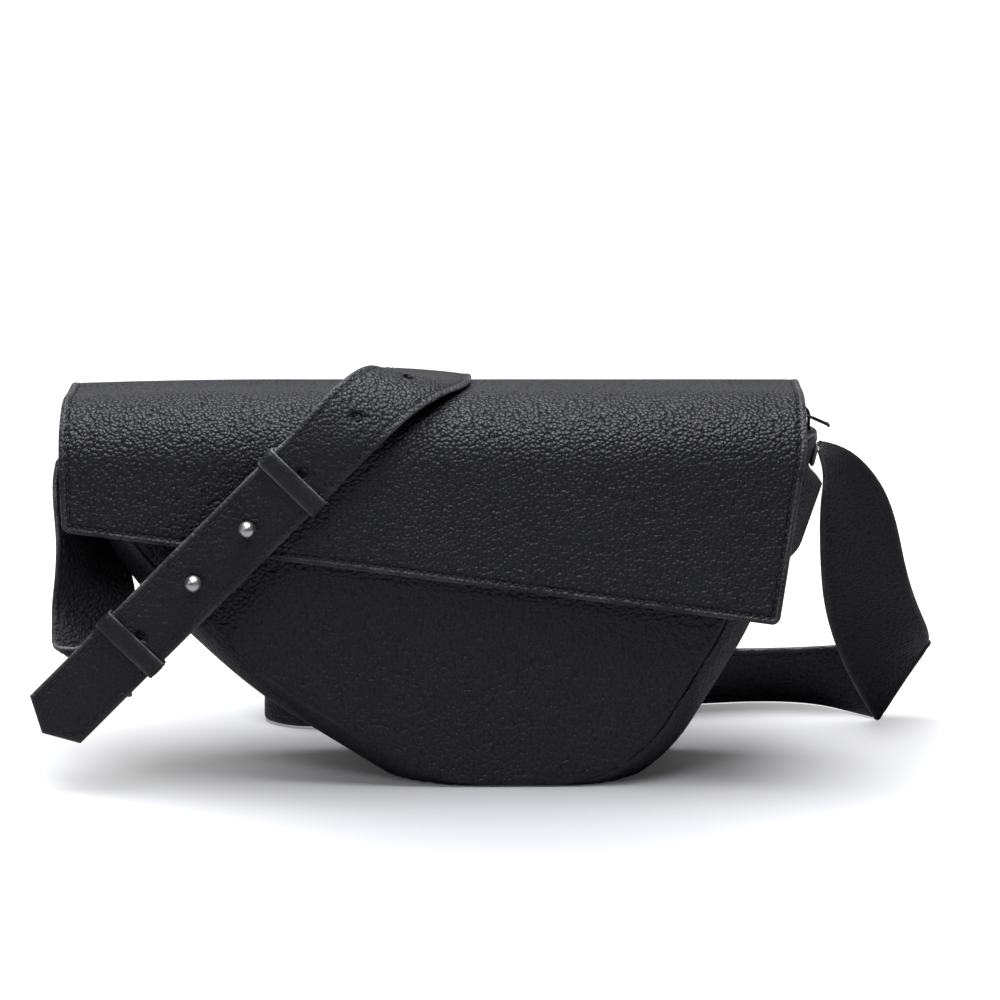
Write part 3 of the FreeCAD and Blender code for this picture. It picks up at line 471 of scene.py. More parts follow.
def panel_disc(name, finishes, towards, margin, inset, thick, low, top, turn_in):
    # A half-moon sheet in rings round a heart: its edge turned in, its face softly uneven.
    line, _, _ = half_moon(-margin, panel_spacing)
    line = line[line[:, 1] <= top]
    line[:, 1] = np.maximum(line[:, 1], low)
    rim_count = int((line[-1, 0] - line[0, 0]) / panel_rim_spacing)
    rim = np.stack((np.linspace(line[-1, 0], line[0, 0], rim_count), np.full(rim_count, top)), axis=1)
    ring = np.concatenate((line, rim))
    ring = ring[np.linalg.norm(ring - np.roll(ring, 1, axis=0), axis=1) > 0.05 * mm]
    arm = np.linalg.norm(ring - panel_heart, axis=1)[:, None]
    even = np.broadcast_to(PANEL_SHARES, (len(ring), len(PANEL_SHARES)))
    shares = np.concatenate((PANEL_STEPS / arm, even), axis=1)
    flat = panel_heart + (ring - panel_heart)[:, None, :] * (1 - shares)[..., None]
    distance = arm * shares
    x, z = flat[..., 0], flat[..., 1]
    soft = panel_wave * np.sin(x / (31 * mm) + 0.8) * np.sin(z / (23 * mm) + 0.4)
    bend = turn_in - rounded_edge(distance, turn_in, panel_round)
    y = panel_face(towards, x, z) - towards * (inset + bend - soft * share_along(distance, 0, 30 * mm))
    grid = np.stack((x, y, z), axis=2)
    half = rounded_edge(distance, thick / 2, thick / 2)
    shell = closed_sheet(grid, np.array((0, towards, 0)), half - thick / 2, -half - thick / 2,
                         edge_wear_and_highlight(distance) * 0.4, loop=True)
    return piece(name, [shell], finishes)


panel_leather = leather_finish("panel_leather", black, crease_shade_black,
                               cell=1.6 * mm, depth=0.6 * mm, rough=0.47)
for label, towards in (("front_panel", -1), ("back_panel", 1)):
    panel = panel_disc(label + "_leather", [panel_leather, suede_side], towards, margin=0.0, inset=0.0,
                       thick=leather_thick, low=panel_floor, top=mouth_height, turn_in=panel_turn)
    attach(panel, "bag")
    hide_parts(label)

# Flap: two layers of leather and lining turned in and sewn together all round. It is sewn to the
# back panel below its fold, rolls over the top and hangs down the front to a slanted lower edge.
strap_slope = math.radians(45.2)
stud_x = -left_share * outline_width + 49.8 * mm
stud_z = mouth_height - 54.5 * mm
flap_thick = 2.4 * mm
flap_front = 39.5 * mm
flap_back = 33.8 * mm
flap_top = mouth_height + 21 * mm
front_roll = 28 * mm
back_roll = 24 * mm
hinge_height = mouth_height - 9 * mm
left_end = -left_share * outline_width
right_end = right_share * outline_width
flap_left = left_end - 5.5 * mm
flap_right = right_end + 3 * mm
flap_left_low = (left_end - 5 * mm, mouth_height - 35.3 * mm)
flap_right_low = (right_end - 7.4 * mm, mouth_height - 75 * mm)
low_width = flap_right_low[0] - flap_left_low[0]
flap_corner = 3.6 * mm
root_margin = 12 * mm
root_height = 25 * mm
root_widen = (-3 * mm, 13 * mm)
stitch_inset = 3.3 * mm
flap_thread_depth = 0.36 * mm
FLAP_THREAD = {"pitch": 3.2 * mm, "long": 2.4 * mm, "thick": 0.75 * mm, "sink": 0.3 * mm}
sag_all = 1.6 * mm
sag_left = 2.2 * mm
sag_left_start = 95 * mm
sag_left_length = 85 * mm
back_rise = flap_top - back_roll - hinge_height
flap_flat = flap_back - back_roll + flap_front - front_roll
quarter = math.pi / 2
FLAP_RUNS = np.cumsum((back_rise, back_roll * quarter, flap_flat, front_roll * quarter))


def flap_profile(run):
    # Side view of the flap's outer face: place and normal at a length from the fold line.
    turn_back = np.clip((run - FLAP_RUNS[0]) / back_roll, 0, quarter)
    turn_front = np.clip((run - FLAP_RUNS[2]) / front_roll, 0, quarter)
    level = np.clip(run - FLAP_RUNS[1], 0, flap_flat)
    y = flap_back - back_roll + back_roll * np.cos(turn_back) - level - front_roll * np.sin(turn_front)
    z = hinge_height + np.minimum(run, back_rise) + back_roll * np.sin(turn_back)
    z = z - front_roll * (1 - np.cos(turn_front)) - np.maximum(run - FLAP_RUNS[3], 0)
    facing = np.where(run < FLAP_RUNS[2], turn_back, quarter + turn_front)
    return y, z, np.stack((np.zeros_like(y), np.cos(facing), np.sin(facing)), axis=-1)


def flap_sides(run):
    # Left and right edges at a length from the fold line: narrower where the flap is sewn down.
    narrow = root_margin * (1 - smooth(share_along(run, *root_widen)))
    fall = np.maximum(run - (FLAP_RUNS[3] - mouth_height + flap_top - front_roll), 0)
    left_slope = (flap_left_low[0] - flap_left) / (mouth_height - flap_left_low[1])
    right_slope = (flap_right_low[0] - flap_right) / (mouth_height - flap_right_low[1])
    return flap_left + narrow + left_slope * fall, flap_right - narrow + right_slope * fall


def flap_end(share):
    # Length from the fold line to the slanted lower edge, at a share of its width.
    low = flap_left_low[1] + (flap_right_low[1] - flap_left_low[1]) * share
    return FLAP_RUNS[3] + flap_top - front_roll - low


def flap_sag(x, run):
    # How far the flap's top settles, most towards its left end.
    over_top = share_along(run, FLAP_RUNS[0], FLAP_RUNS[3] - FLAP_RUNS[0])
    towards_left = share_along(-x, sag_left_start, sag_left_length)
    return (sag_all + sag_left * towards_left ** 2) * np.sin(math.pi * over_top) ** 2


def rounded_corner(side, end, radius):
    # Moves points near a square corner on to a round one; gives the two distances and the nearest.
    p = np.clip((radius - side) / radius, 0, 1)
    q = np.clip((radius - end) / radius, 0, 1)
    round_p = p * np.sqrt(1 - q * q / 2)
    round_q = q * np.sqrt(1 - p * p / 2)
    near_corner = (side < radius) & (end < radius)
    distance = np.where(near_corner, radius * (1 - np.hypot(round_p, round_q)), np.minimum(side, end))
    new_side = np.where(near_corner, radius * (1 - round_p), side)
    new_end = np.where(near_corner, radius * (1 - round_q), end)
    return new_side, new_end, distance


def ring_faces(rings, corners):
    # Faces of a stack of rings of points: a cap at each end and the quads between.
    last = (rings - 1) * corners
    faces = [tuple(range(corners - 1, -1, -1)), tuple(range(last, last + corners))]
    for first in range(0, last, corners):
        for corner in range(corners):
            ahead = (corner + 1) % corners
            faces.append((first + corner, first + ahead, first + corners + ahead, first + corners + corner))
    return faces


STITCH_PLACES = (-1.0, -0.8, -0.35, 0.35, 0.8, 1.0)
STITCH_GIRTHS = (0.25, 0.75, 1.0, 1.0, 0.75, 0.25)
thread_sides = 6
thread_mark = 2


def stitch_row(path, normal, pitch, long, thick, sink):
    # A row of short thread stitches along a line, each arched with its ends pulled into the leather.
    run = path_lengths(path)
    count = int(run[-1] / pitch)
    middles = (np.arange(count) + 0.5) * run[-1] / count
    centre = at_lengths(middles, run, path)
    up = at_lengths(middles, run, normal)
    forward = at_lengths(middles + 1 * mm, run, path) - at_lengths(middles - 1 * mm, run, path)
    forward /= np.linalg.norm(forward, axis=1, keepdims=True)
    up /= np.linalg.norm(up, axis=1, keepdims=True)
    side = np.cross(forward, up)
    local = []
    for place, girth in zip(STITCH_PLACES, STITCH_GIRTHS):
        for corner in range(thread_sides):
            angle = corner * 2 * math.pi / thread_sides
            rise = girth * thick / 2 * math.sin(angle) + thick * 0.15 - sink * place * place
            local.append((place * long / 2, girth * thick / 2 * math.cos(angle), rise))
    points = centre[:, None, :] + np.array(local) @ np.stack((forward, side, up), axis=1)
    firsts = np.arange(count) * len(local)
    one = ring_faces(len(STITCH_PLACES), thread_sides)
    faces = [tuple(first + corner for corner in face) for first in firsts for face in one]
    return points.reshape(-1, 3), faces, [thread_mark] * len(faces), np.zeros(count * len(local))


def patterned_finish(finish, colour, dark, pattern, gloss, rough, height, strength, depth,
                     spread=(0.0, 1.0), **inputs):
    # Ends a finish whose colour, gloss and relief each follow a pattern.
    tree = finish.node_tree
    darker = tuple(dark * part for part in colour[:3]) + (1,)
    tone = mix(tree, pattern, darker, colour)
    shine = remap(tree, gloss, *spread, *rough)
    bump = node(tree, "Bump", "Normal", Strength=strength, Distance=depth, Height=height)
    return end_finish(finish, Base_Color=tone, Roughness=shine, Normal=bump, **inputs)


def thread_finish(name, colour):
    # Waxed thread: two plies twisted together, seen as slanted ridges.
    finish, tree, spot = start_finish(name)
    twist = node(tree, "TexWave", "Fac", spot, bands_direction="DIAGONAL", Scale=700.0, Distortion=0.6)
    fuzz = node(tree, "TexNoise", "Fac", spot, Scale=4000.0)
    # The grooves between the twisted plies are drawn darker, painted shade in the twist.
    return patterned_finish(finish, colour, 0.6, pattern=twist, gloss=fuzz, rough=(0.5, 0.75), height=twist,
                            strength=0.8, depth=0.08 * mm, Specular_IOR_Level=0.3)


flap_leather = leather_finish("flap_leather", black, crease_shade_black,
                              cell=1.7 * mm, depth=0.64 * mm, rough=0.44, lean=0.6, stretch=1.15)
flap_inside = leather_finish("flap_inside", (0.019, 0.019, 0.021, 1), (0.011, 0.011, 0.012, 1),
                             cell=1.2 * mm, depth=0.08 * mm, rough=0.62)
thread = thread_finish("black_thread", (0.026, 0.026, 0.029, 1))

# The flap's grid has fine lines along all four edges, where it is turned and sewn.
FLAP_STEPS = np.array((0, 0.15, 0.45, 0.9, 1.4, 2.0, 2.6, 3.0, 3.3, 3.6, 4.0, 4.6, 5.4, 6.4)) * mm
fine_border = 8 * mm
flap_columns = 72
flap_rows = 66


def edge_lines(steps, border, count, length):
    # Lines across a length, fine at both ends and even between; the length may vary from line to line.
    even = np.linspace(0, 1, count)
    fixed = np.concatenate((steps, border * (1 - 2 * even), -steps[::-1]))
    share = np.concatenate((np.zeros(len(steps)), even, np.ones(len(steps))))
    return fixed + share * length


ends = flap_end(edge_lines(FLAP_STEPS, fine_border, flap_columns, low_width) / low_width)
run = edge_lines(FLAP_STEPS, fine_border, flap_rows, (ends + root_height)[:, None]).T - root_height
left, right = flap_sides(run)
width = right - left
side_left = edge_lines(FLAP_STEPS, fine_border, flap_columns, width)
side_right = width - side_left
end_low = ends - run
end_root = run + root_height
from_left = side_left < side_right
from_low = end_low < end_root
near_side = np.minimum(side_left, side_right)
near_end = np.minimum(end_low, end_root)
side, end, distance = rounded_corner(near_side, near_end, flap_corner)
x = np.where(from_left, left + side, right - side)
run = np.where(from_low, ends - end, end - root_height)
y, z, normal = flap_profile(run)
grid = np.stack((x, y, z), axis=2) - normal * flap_thick / 2

# It is softly uneven inside its sewn edge, pressed flat under the strap, and sags over the top.
strap_press_width = 21 * mm
strap_press_depth = 0.15 * mm
inside = share_along(distance, 5 * mm, 25 * mm)
wide_wave = 0.55 * mm * np.sin(x / (41 * mm) + 0.6 + run / (60 * mm)) * np.sin(run / (27 * mm) + 0.9)
fine_wave = 0.25 * mm * np.sin(x / (17 * mm) - run / (23 * mm))
soft = inside * (wide_wave + fine_wave)
from_strap = (x - stud_x) * math.sin(strap_slope) - (z - stud_z) * math.cos(strap_slope)
pressed = np.exp(-(from_strap / strap_press_width) ** 4) * inside
soft = soft - pressed * (np.maximum(soft, 0) + strap_press_depth)
soft = np.where(run > FLAP_RUNS[1], soft, 0) - flap_sag(x, run)
half = rounded_edge(distance, flap_thick / 2, flap_thick / 2)
groove = dip(distance, stitch_inset, 0.7 * mm, 0.6 * mm) - dip(distance, 1.9 * mm, 0.8 * mm, 0.18 * mm)
inner_groove = dip(distance, stitch_inset, 0.6 * mm, 0.25 * mm)
outer = half - groove * (distance > 0) + soft
inner = -half + inner_groove * (distance > 0) + soft
# A pale line along the raised bead inside the flap's edge: partly wear, partly a painted highlight on the
# bead.
bead_wear_and_highlight = dip(distance, 2.0 * mm, 0.5 * mm, 0.45)
flap_shell = closed_sheet(grid, normal, outer, inner, edge_wear_and_highlight(distance) + bead_wear_and_highlight)

# Its stitches run down the left side, along the lower edge, up the right side and along the root.
side_paths = []
turn = flap_corner - stitch_inset
for share, sign in ((0.0, 1), (1.0, -1)):
    low_run = flap_end(share)
    runs = np.linspace(flap_corner - root_height, low_run - flap_corner, 160)
    edge = flap_sides(runs)[0 if sign > 0 else 1] + sign * stitch_inset
    path = list(zip(edge, runs))
    for bend in (0.5 * quarter, quarter):
        path.append((edge[-1] + sign * turn * (1 - math.cos(bend)),
                     low_run - flap_corner + turn * math.sin(bend)))
    side_paths.append(path)
low_shares = np.linspace(0.025, 0.975, 120)
low_path = list(zip(flap_left_low[0] + low_width * low_shares, flap_end(low_shares) - stitch_inset))
root_left, root_right = flap_sides(np.array(-root_height))
root_across = np.linspace(root_right - flap_corner, root_left + flap_corner, 120)
root_path = [(across_root, stitch_inset - root_height) for across_root in root_across]
flap_path = np.array(side_paths[0] + low_path + side_paths[1][::-1] + root_path)
path_y, path_z, path_normal = flap_profile(flap_path[:, 1])
path_sink = flap_sag(flap_path[:, 0], flap_path[:, 1]) + flap_thread_depth
path_points = np.stack((flap_path[:, 0], path_y, path_z), axis=1) - path_normal * path_sink[:, None]
flap_stitches = stitch_row(path_points, path_normal, **FLAP_THREAD)
flap = piece("flap", [flap_shell, flap_stitches], [flap_leather, flap_inside, thread])
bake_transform(flap)
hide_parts("flap_leather", "flap_lining", "flap_root")

# Long half of the shoulder strap: a flat leather strap, turned and sewn along both edges. From its
# pointed end it runs up over the flap, down the back, along the floor on its edge and out to a fold.
strap_thick = 2.2 * mm
strap_narrow = 29 * mm
strap_wide = 37 * mm
half_strap = strap_thick / 2
strap_lift = 4.15 * mm
layer_gap = 0.15 * mm
split_gap = 0.6 * mm
strap_spread = 55 * mm
floor_gap = 0.9 * mm
along = np.array((math.cos(strap_slope), 0, math.sin(strap_slope)))
across = np.array((math.sin(strap_slope), 0, -math.cos(strap_slope)))
long_middle = flap_front + strap_lift + half_strap
short_middle = long_middle - strap_thick - layer_gap
rear_middle = flap_back + strap_lift + half_strap
strap_top = flap_top + strap_lift + half_strap
bend_height = mouth_height - 0.5 * mm
front_bend = strap_top - bend_height
rear_bend = back_roll + strap_lift + half_strap
strap_flat = rear_middle - rear_bend + long_middle - front_bend
rear_drop = strap_top - rear_bend - hinge_height
STRAP_RUNS = bend_height + np.cumsum((0, front_bend * quarter, strap_flat, rear_bend * quarter, rear_drop))
turn_start = bend_height + 25 * mm
turn_length = 34 * mm
# How far the strap settles on to the flap in its middle, how much more at its right edge than at its
# left one, and over what lengths it does so in front and behind.
settle_depth = 3.7 * mm
settle_tilt = 3.0 * mm
settle_front = 45 * mm
settle_rear = 30 * mm
# How far its left edge arches up off the flap, and where.
arch_height = 7.6 * mm
arch_start = bend_height + 2 * mm
arch_length = 62 * mm
tip_length = 83 * mm
tip_point = 8 * mm
hole_pitch = 32 * mm
hole_diameter = 4.4 * mm
HOLE_STEPS = (-1, 0, 1, 2, 3, 4)
strap_stitch = 2.9 * mm
STRAP_THREAD = {"pitch": 4.1 * mm, "long": 3.0 * mm, "thick": 0.62 * mm, "sink": 0.26 * mm}
strap_spacing = 2.8 * mm
over_count = 116
STRAP_STEPS = np.array((0, 0.15, 0.45, 0.9, 1.5, 2.1, 2.6, 2.9, 3.2, 3.7, 4.6, 6.5, 9.5)) * mm
strap_shares = edge_lines(STRAP_STEPS, strap_narrow / 2, 1, strap_narrow) / strap_narrow
stitch_column = list(STRAP_STEPS).index(strap_stitch)
far_column = len(strap_shares) - 1 - stitch_column


def strap_profile(run):
    # Side view of the rolled strap's middle: place and normal at a developed height.
    turn_front = np.clip((run - STRAP_RUNS[0]) / front_bend, 0, quarter)
    level = np.clip(run - STRAP_RUNS[1], 0, strap_flat)
    turn_rear = np.clip((run - STRAP_RUNS[2]) / rear_bend, 0, quarter)
    y = -long_middle + front_bend * (1 - np.cos(turn_front)) + level + rear_bend * np.sin(turn_rear)
    z = np.minimum(run, bend_height) + front_bend * np.sin(turn_front)
    z = z - rear_bend * (1 - np.cos(turn_rear)) - np.maximum(run - STRAP_RUNS[3], 0)
    facing = turn_front + turn_rear
    return y, z, -np.cos(facing), np.sin(facing)


def rolled_strap(reach, offset):
    # A point of the strap over the flap: reach along it from the lower stud, offset across it.
    # Over the top it turns straight back, widens, and sinks on to the flap, more so at its right,
    # while its left edge stands off the flap's roll in an arch.
    run = stud_z + reach * math.sin(strap_slope) - offset * math.cos(strap_slope)
    turned = share_along(run, turn_start, turn_length)
    lost = turned ** 2 / 2 * turn_length + np.maximum(run - turn_start - turn_length, 0)
    width = strap_narrow + (strap_wide - strap_narrow) * turned
    width = width * np.hypot(1, (1 - turned) / math.tan(strap_slope))
    side_share = offset / strap_narrow
    x = stud_x + (run - stud_z - lost) / math.tan(strap_slope) + side_share * width
    y, z, lean_y, lean_z = strap_profile(run)
    settled = share_along(run, bend_height, settle_front) * share_along(STRAP_RUNS[4] - run, 0, settle_rear)
    arch = np.sin(math.pi * share_along(run, arch_start, arch_length)) ** 2
    sink = (settle_depth + settle_tilt * side_share) * smooth(settled)
    sink = sink - arch_height * (0.5 - side_share) * arch
    place = np.stack((x, y - sink * lean_y, z - sink * lean_z), axis=-1)
    return place, np.stack((np.zeros_like(y), lean_y, lean_z), axis=-1)


def front_place(reach, depth):
    return np.array((stud_x, -depth, stud_z)) + along * reach


def edge_pair(centre, direction, width):
    # The strap's two edge points at a station.
    reach = np.array(direction) / np.linalg.norm(direction) * width / 2
    return np.array(centre) - reach, np.array(centre) + reach


def floor_place(x, y, direction, width):
    # The middle of a station whose lower edge rests on the floor.
    rise = abs(direction[2]) / np.linalg.norm(direction) * width / 2
    return np.array((x, y, floor_gap + rise))


def smooth_line(points, spacing):
    # A smooth line through chosen points: a natural cubic over the chord lengths.
    points = np.array(points)
    gaps = np.linalg.norm(np.diff(points, axis=0), axis=1)
    count = len(points)
    matrix = np.eye(count)
    wanted = np.zeros((count, 3))
    for i in range(1, count - 1):
        matrix[i, i - 1:i + 2] = gaps[i - 1], 2 * (gaps[i - 1] + gaps[i]), gaps[i]
        wanted[i] = 6 * ((points[i + 1] - points[i]) / gaps[i] - (points[i] - points[i - 1]) / gaps[i - 1])
    bends = np.linalg.solve(matrix, wanted)
    line = [points[0]]
    for i in range(count - 1):
        for step in range(1, spacing[i] + 1):
            b = step / spacing[i]
            a = 1 - b
            swing = ((a ** 3 - a) * bends[i] + (b ** 3 - b) * bends[i + 1]) * gaps[i] ** 2 / 6
            line.append(a * points[i] + b * points[i + 1] + swing)
    return np.array(line)


def strap_run(pairs):
    # Grid of a free run of strap from its edge pairs.
    middles = np.array([(near + far) / 2 for near, far in pairs])
    gaps = np.linalg.norm(np.diff(middles, axis=0), axis=1)
    spacing = np.maximum(3, (gaps / strap_spacing).astype(int))
    near = smooth_line([pair[0] for pair in pairs], spacing)
    far = smooth_line([pair[1] for pair in pairs], spacing)
    return near[:, None, :] + (far - near)[:, None, :] * strap_shares[None, :, None]


def strap_shell(grid, end_distance):
    # The strap's shell, grooved along its seams and a little padded between, and its normals.
    normal = -grid_normals(grid)
    sides = np.minimum(strap_shares, 1 - strap_shares) * strap_narrow
    distance = np.minimum(np.broadcast_to(sides, grid.shape[:2]), end_distance)
    half = rounded_edge(distance, half_strap, half_strap)
    seam = dip(distance, strap_stitch, 0.6 * mm, 0.32 * mm) * (distance > 0)
    padding = 0.25 * mm * share_along(sides, 3.5 * mm, 8 * mm) * (end_distance > 0)
    outer = half - seam + padding
    inner = -half + seam * 0.6 + padding
    return closed_sheet(grid, normal, outer, inner, edge_wear_and_highlight(distance)), normal


def open_ends(grid):
    # Distance from the strap's ends: nothing at the first and last row, far away elsewhere.
    ends = np.ones(grid.shape[:2])
    ends[[0, -1]] = 0
    return ends


def strap_stitches(path, normal):
    # A row of stitches on each face.
    rows = []
    for side, sink in ((1, 0.2 * mm), (-1, 0.16 * mm)):
        lifted = path + normal * side * (half_strap - sink)
        rows.append(stitch_row(lifted, normal * side, **STRAP_THREAD))
    return rows


strap_leather = leather_finish("strap_leather", (0.006, 0.0064, 0.0098, 1), (0.003, 0.0031, 0.0045, 1),
                               cell=1.5 * mm, depth=0.44 * mm, rough=0.46)
# A darker, rougher copy of the strap leather for the strap's other face, darkened as painted shade where
# that face shows at the right.
strap_back_painted_shade = leather_finish("strap_back_painted_shade", (0.0048, 0.005, 0.0078, 1), (0.0026, 0.0027, 0.004, 1),
                            cell=1.5 * mm, depth=0.35 * mm, rough=0.52)
strap_finishes = [strap_leather, strap_back_painted_shade, thread]

# Its front run, in rows from the pointed tip to the flap's fold line.
offsets = (strap_shares - 0.5) * strap_narrow
tip_contour = -tip_length - tip_point + tip_point * np.abs(offsets) / (strap_narrow / 2)
back_line = (STRAP_RUNS[4] - stud_z + offsets * math.cos(strap_slope)) / math.sin(strap_slope)
tip_rows = tip_contour + STRAP_STEPS[:-2, None]
reach_start = tip_contour + STRAP_STEPS[-2]
over_rows = reach_start + (back_line - reach_start) * np.linspace(0, 1, over_count)[:, None]
reaches = np.concatenate((tip_rows, over_rows))
over_grid, _ = rolled_strap(reaches, np.broadcast_to(offsets, reaches.shape))

# Its stations down the back: sideways from the flap's fold line as shares of the bag's width, then
# shares of the spread behind the bag and of the mouth's height, and the width's direction.
BACK_RUN_SHARES = [
    (0.02, 0.0, 0.822, (0.99, 0.0, 0.12)),
    (0.045, 0.035, 0.664, (1.0, 0.0, 0.0)),
    (0.045, 0.145, 0.479, (0.95, 0.0, -0.3)),
    (0.0, 0.27, 0.295, (0.72, 0.0, -0.7)),
    (-0.085, 0.345, 0.178, (0.36, 0.0, -0.93)),
]
# Along the floor on its edge, round a turn at the left and out to the fold at the right.
FLOOR_RUN_SHARES = [
    (-0.301, 0.363, (0.0, 0.0, -1.0)),
    (-0.348, 0.49, (0.0, 0.0, -1.0)),
    (-0.363, 0.654, (0.0, 0.0, -1.0)),
    (-0.348, 0.817, (0.0, 0.0, -1.0)),
    (-0.294, 0.926, (0.0, 0.0, -1.0)),
    (-0.134, 0.854, (0.0, 0.12, -0.99)),
    (0.1, 0.78, (0.0, 0.5, -0.87)),
    (0.284, 0.89, (0.0, 0.56, -0.83)),
    (0.385, 0.963, (0.0, 0.58, -0.81)),
    (0.472, 0.872, (0.0, 0.5, -0.87)),
    (0.528, 0.74, (-0.25, 0.25, -0.93)),
]
fold_x = 0.585 * outline_width
fold_y = rear_middle + 0.66 * strap_spread
fold_direction = (-0.55, -0.09, -0.83)
fold_width = 1.16 * strap_wide

hinge_pair = (over_grid[-1, 0], over_grid[-1, -1])
hinge_x = (hinge_pair[0][0] + hinge_pair[1][0]) / 2
rear_pairs = [hinge_pair]
for x_share, y_share, z_share, direction in BACK_RUN_SHARES:
    y = rear_middle + y_share * strap_spread
    centre = (hinge_x + x_share * outline_width, y, z_share * mouth_height)
    rear_pairs.append(edge_pair(centre, direction, strap_wide))
for x_share, y_share, direction in FLOOR_RUN_SHARES:
    y = rear_middle + y_share * strap_spread
    centre = floor_place(x_share * outline_width, y, direction, strap_wide)
    rear_pairs.append(edge_pair(centre, direction, strap_wide))
fold_centre = floor_place(fold_x, fold_y, fold_direction, fold_width)
fold_back = fold_centre + np.array((0, half_strap, 0))
fold_front = fold_centre - np.array((0, half_strap + split_gap, 0))
rear_pairs.append(edge_pair(fold_back, fold_direction, fold_width))
long_grid = np.concatenate((over_grid, strap_run(rear_pairs)[1:]))
long_ends = open_ends(long_grid)
long_ends[:len(reaches)] = np.minimum(reaches - tip_contour, 1.0)
long_shell, long_normal = strap_shell(long_grid, long_ends)
strap_long = piece("strap_long", [long_shell], strap_finishes)


def round_the_tip(rows):
    # The seam's line in a grid: up one edge, across behind the tip and back along the other edge.
    return np.concatenate((rows[:stitch_column:-1, stitch_column],
                           rows[stitch_column, stitch_column:far_column + 1],
                           rows[stitch_column + 1:, far_column]))


def punch(strap, places, diameter):
    # Cuts round holes through a strap at the given places and directions.
    work = bmesh.new()
    for place, direction in places:
        matrix = Vector(direction).to_track_quat("Z", "Y").to_matrix().to_4x4()
        matrix.translation = Vector(place)
        bmesh.ops.create_cone(work, cap_ends=True, segments=28, radius1=diameter / 2, radius2=diameter / 2,
                              depth=4 * strap_thick, matrix=matrix)
    mesh = bpy.data.meshes.new("punch")
    work.to_mesh(mesh)
    work.free()
    cutter = bpy.data.objects.new("punch", mesh)
    bpy.context.collection.objects.link(cutter)
    cut = strap.modifiers.new("punch", "BOOLEAN")
    cut.operation = "DIFFERENCE"
    cut.object = cutter
    cut.solver = "EXACT"
    holed = bpy.data.meshes.new_from_object(strap.evaluated_get(bpy.context.evaluated_depsgraph_get()))
    strap.modifiers.clear()
    strap.data = holed
    bpy.data.objects.remove(cutter)


def add_shells(strap, shells):
    # Joins more shells, such as stitches, to a finished piece.
    added = piece(strap.name + "_added", shells, list(strap.data.materials))
    work = bmesh.new()
    work.from_mesh(strap.data)
    work.from_mesh(added.data)
    work.to_mesh(strap.data)
    work.free()
    strap.data.shade_smooth()
    bpy.data.objects.remove(added)


hole_places = [rolled_strap(np.array(step * hole_pitch), np.array(0.0)) for step in HOLE_STEPS]
punch(strap_long, hole_places, hole_diameter)
add_shells(strap_long, strap_stitches(round_the_tip(long_grid), round_the_tip(long_normal)))
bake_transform(strap_long)
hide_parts("strap_long_front", "strap_long_rear")

# The long half's last run: folded back on itself at the floor, then up and round to the right end
# of the gusset, where it narrows into a gathered end under its leather tab. Its stations are shares
# of the bag's width, the fold's depth and the mouth's height, a direction and a share of the width.
RIGHT_RUN_SHARES = [
    (0.566, 0.92, 0.205, (-0.85, -0.1, -0.5), 1.08),
    (0.537, 0.72, 0.356, (-0.99, -0.1, -0.05), 1.13),
    (0.511, 0.44, 0.548, (-0.98, -0.2, 0.0), 1.03),
    (0.489, 0.25, 0.785, (-0.85, -0.5, -0.05), 0.88),
    (0.462, 0.11, 0.9, (-0.5, -0.85, -0.15), 0.68),
]
fold_steps = 7
tab_thick = 1.6 * mm
tab_gap = 0.2 * mm
anchor_height = mouth_height - 9 * mm
anchor_width = 15 * mm
anchor_spacing = 2.6 * mm
seam_middle = (back_seam - front_seam) / 2


def gusset_end(side, height):
    # Sideways place of the gusset's swollen end at a height near the rim.
    line, outward, _ = half_moon(0.0, anchor_spacing)
    half_count = len(line) // 2
    chosen = slice(0, half_count) if side < 0 else slice(half_count, None)
    line, outward = line[chosen], outward[chosen]
    ends = line[:, 0] + outward[:, 0] * gusset_bulge
    heights = line[:, 1] + outward[:, 1] * gusset_bulge * rim_fade(line[:, 1], mouth_height)
    order = np.argsort(heights)
    return float(np.interp(height, heights[order], ends[order]))


def edge_stitches(grid, normal, rows):
    # Stitches along both edges of a run of strap, on both faces.
    made = []
    for column in (stitch_column, far_column):
        made += strap_stitches(grid[rows, column], normal[rows, column])
    return made


anchor_step = tab_thick + tab_gap + 0.4 * mm
right_anchor_height = anchor_height + 3 * mm
right_anchor = (gusset_end(1, right_anchor_height) + anchor_step, seam_middle, right_anchor_height)
right_pairs = [edge_pair(fold_front, fold_direction, fold_width)]
for x_share, y_share, z_share, direction, width_share in RIGHT_RUN_SHARES:
    centre = (x_share * outline_width, y_share * fold_front[1], z_share * mouth_height)
    right_pairs.append(edge_pair(centre, direction, width_share * strap_wide))
right_pairs.append(edge_pair(right_anchor, (0, -1, 0), anchor_width))
fold_radius = (fold_back - fold_front)[1] / 2
fold_out = np.cross(fold_direction, (0, 1, 0))
fold_out *= np.sign(fold_out[0]) / np.linalg.norm(fold_out)
fold_near, fold_far = edge_pair((fold_back + fold_front) / 2, fold_direction, fold_width)
fold_rows = []
for step in range(fold_steps):
    angle = math.pi * step / fold_steps
    arm = np.array((0, math.cos(angle), 0)) * fold_radius + fold_out * fold_radius * math.sin(angle)
    fold_rows.append(fold_near + arm + (fold_far - fold_near) * strap_shares[:, None])
right_grid = np.concatenate((np.array(fold_rows), strap_run(right_pairs)))
right_shell, right_normal = strap_shell(right_grid, open_ends(right_grid))
right_stitches = edge_stitches(right_grid, right_normal, slice(fold_steps, None))
strap_right = piece("strap_right", [right_shell] + right_stitches, strap_finishes)
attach(strap_right, "bag")
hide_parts("strap_long_right")

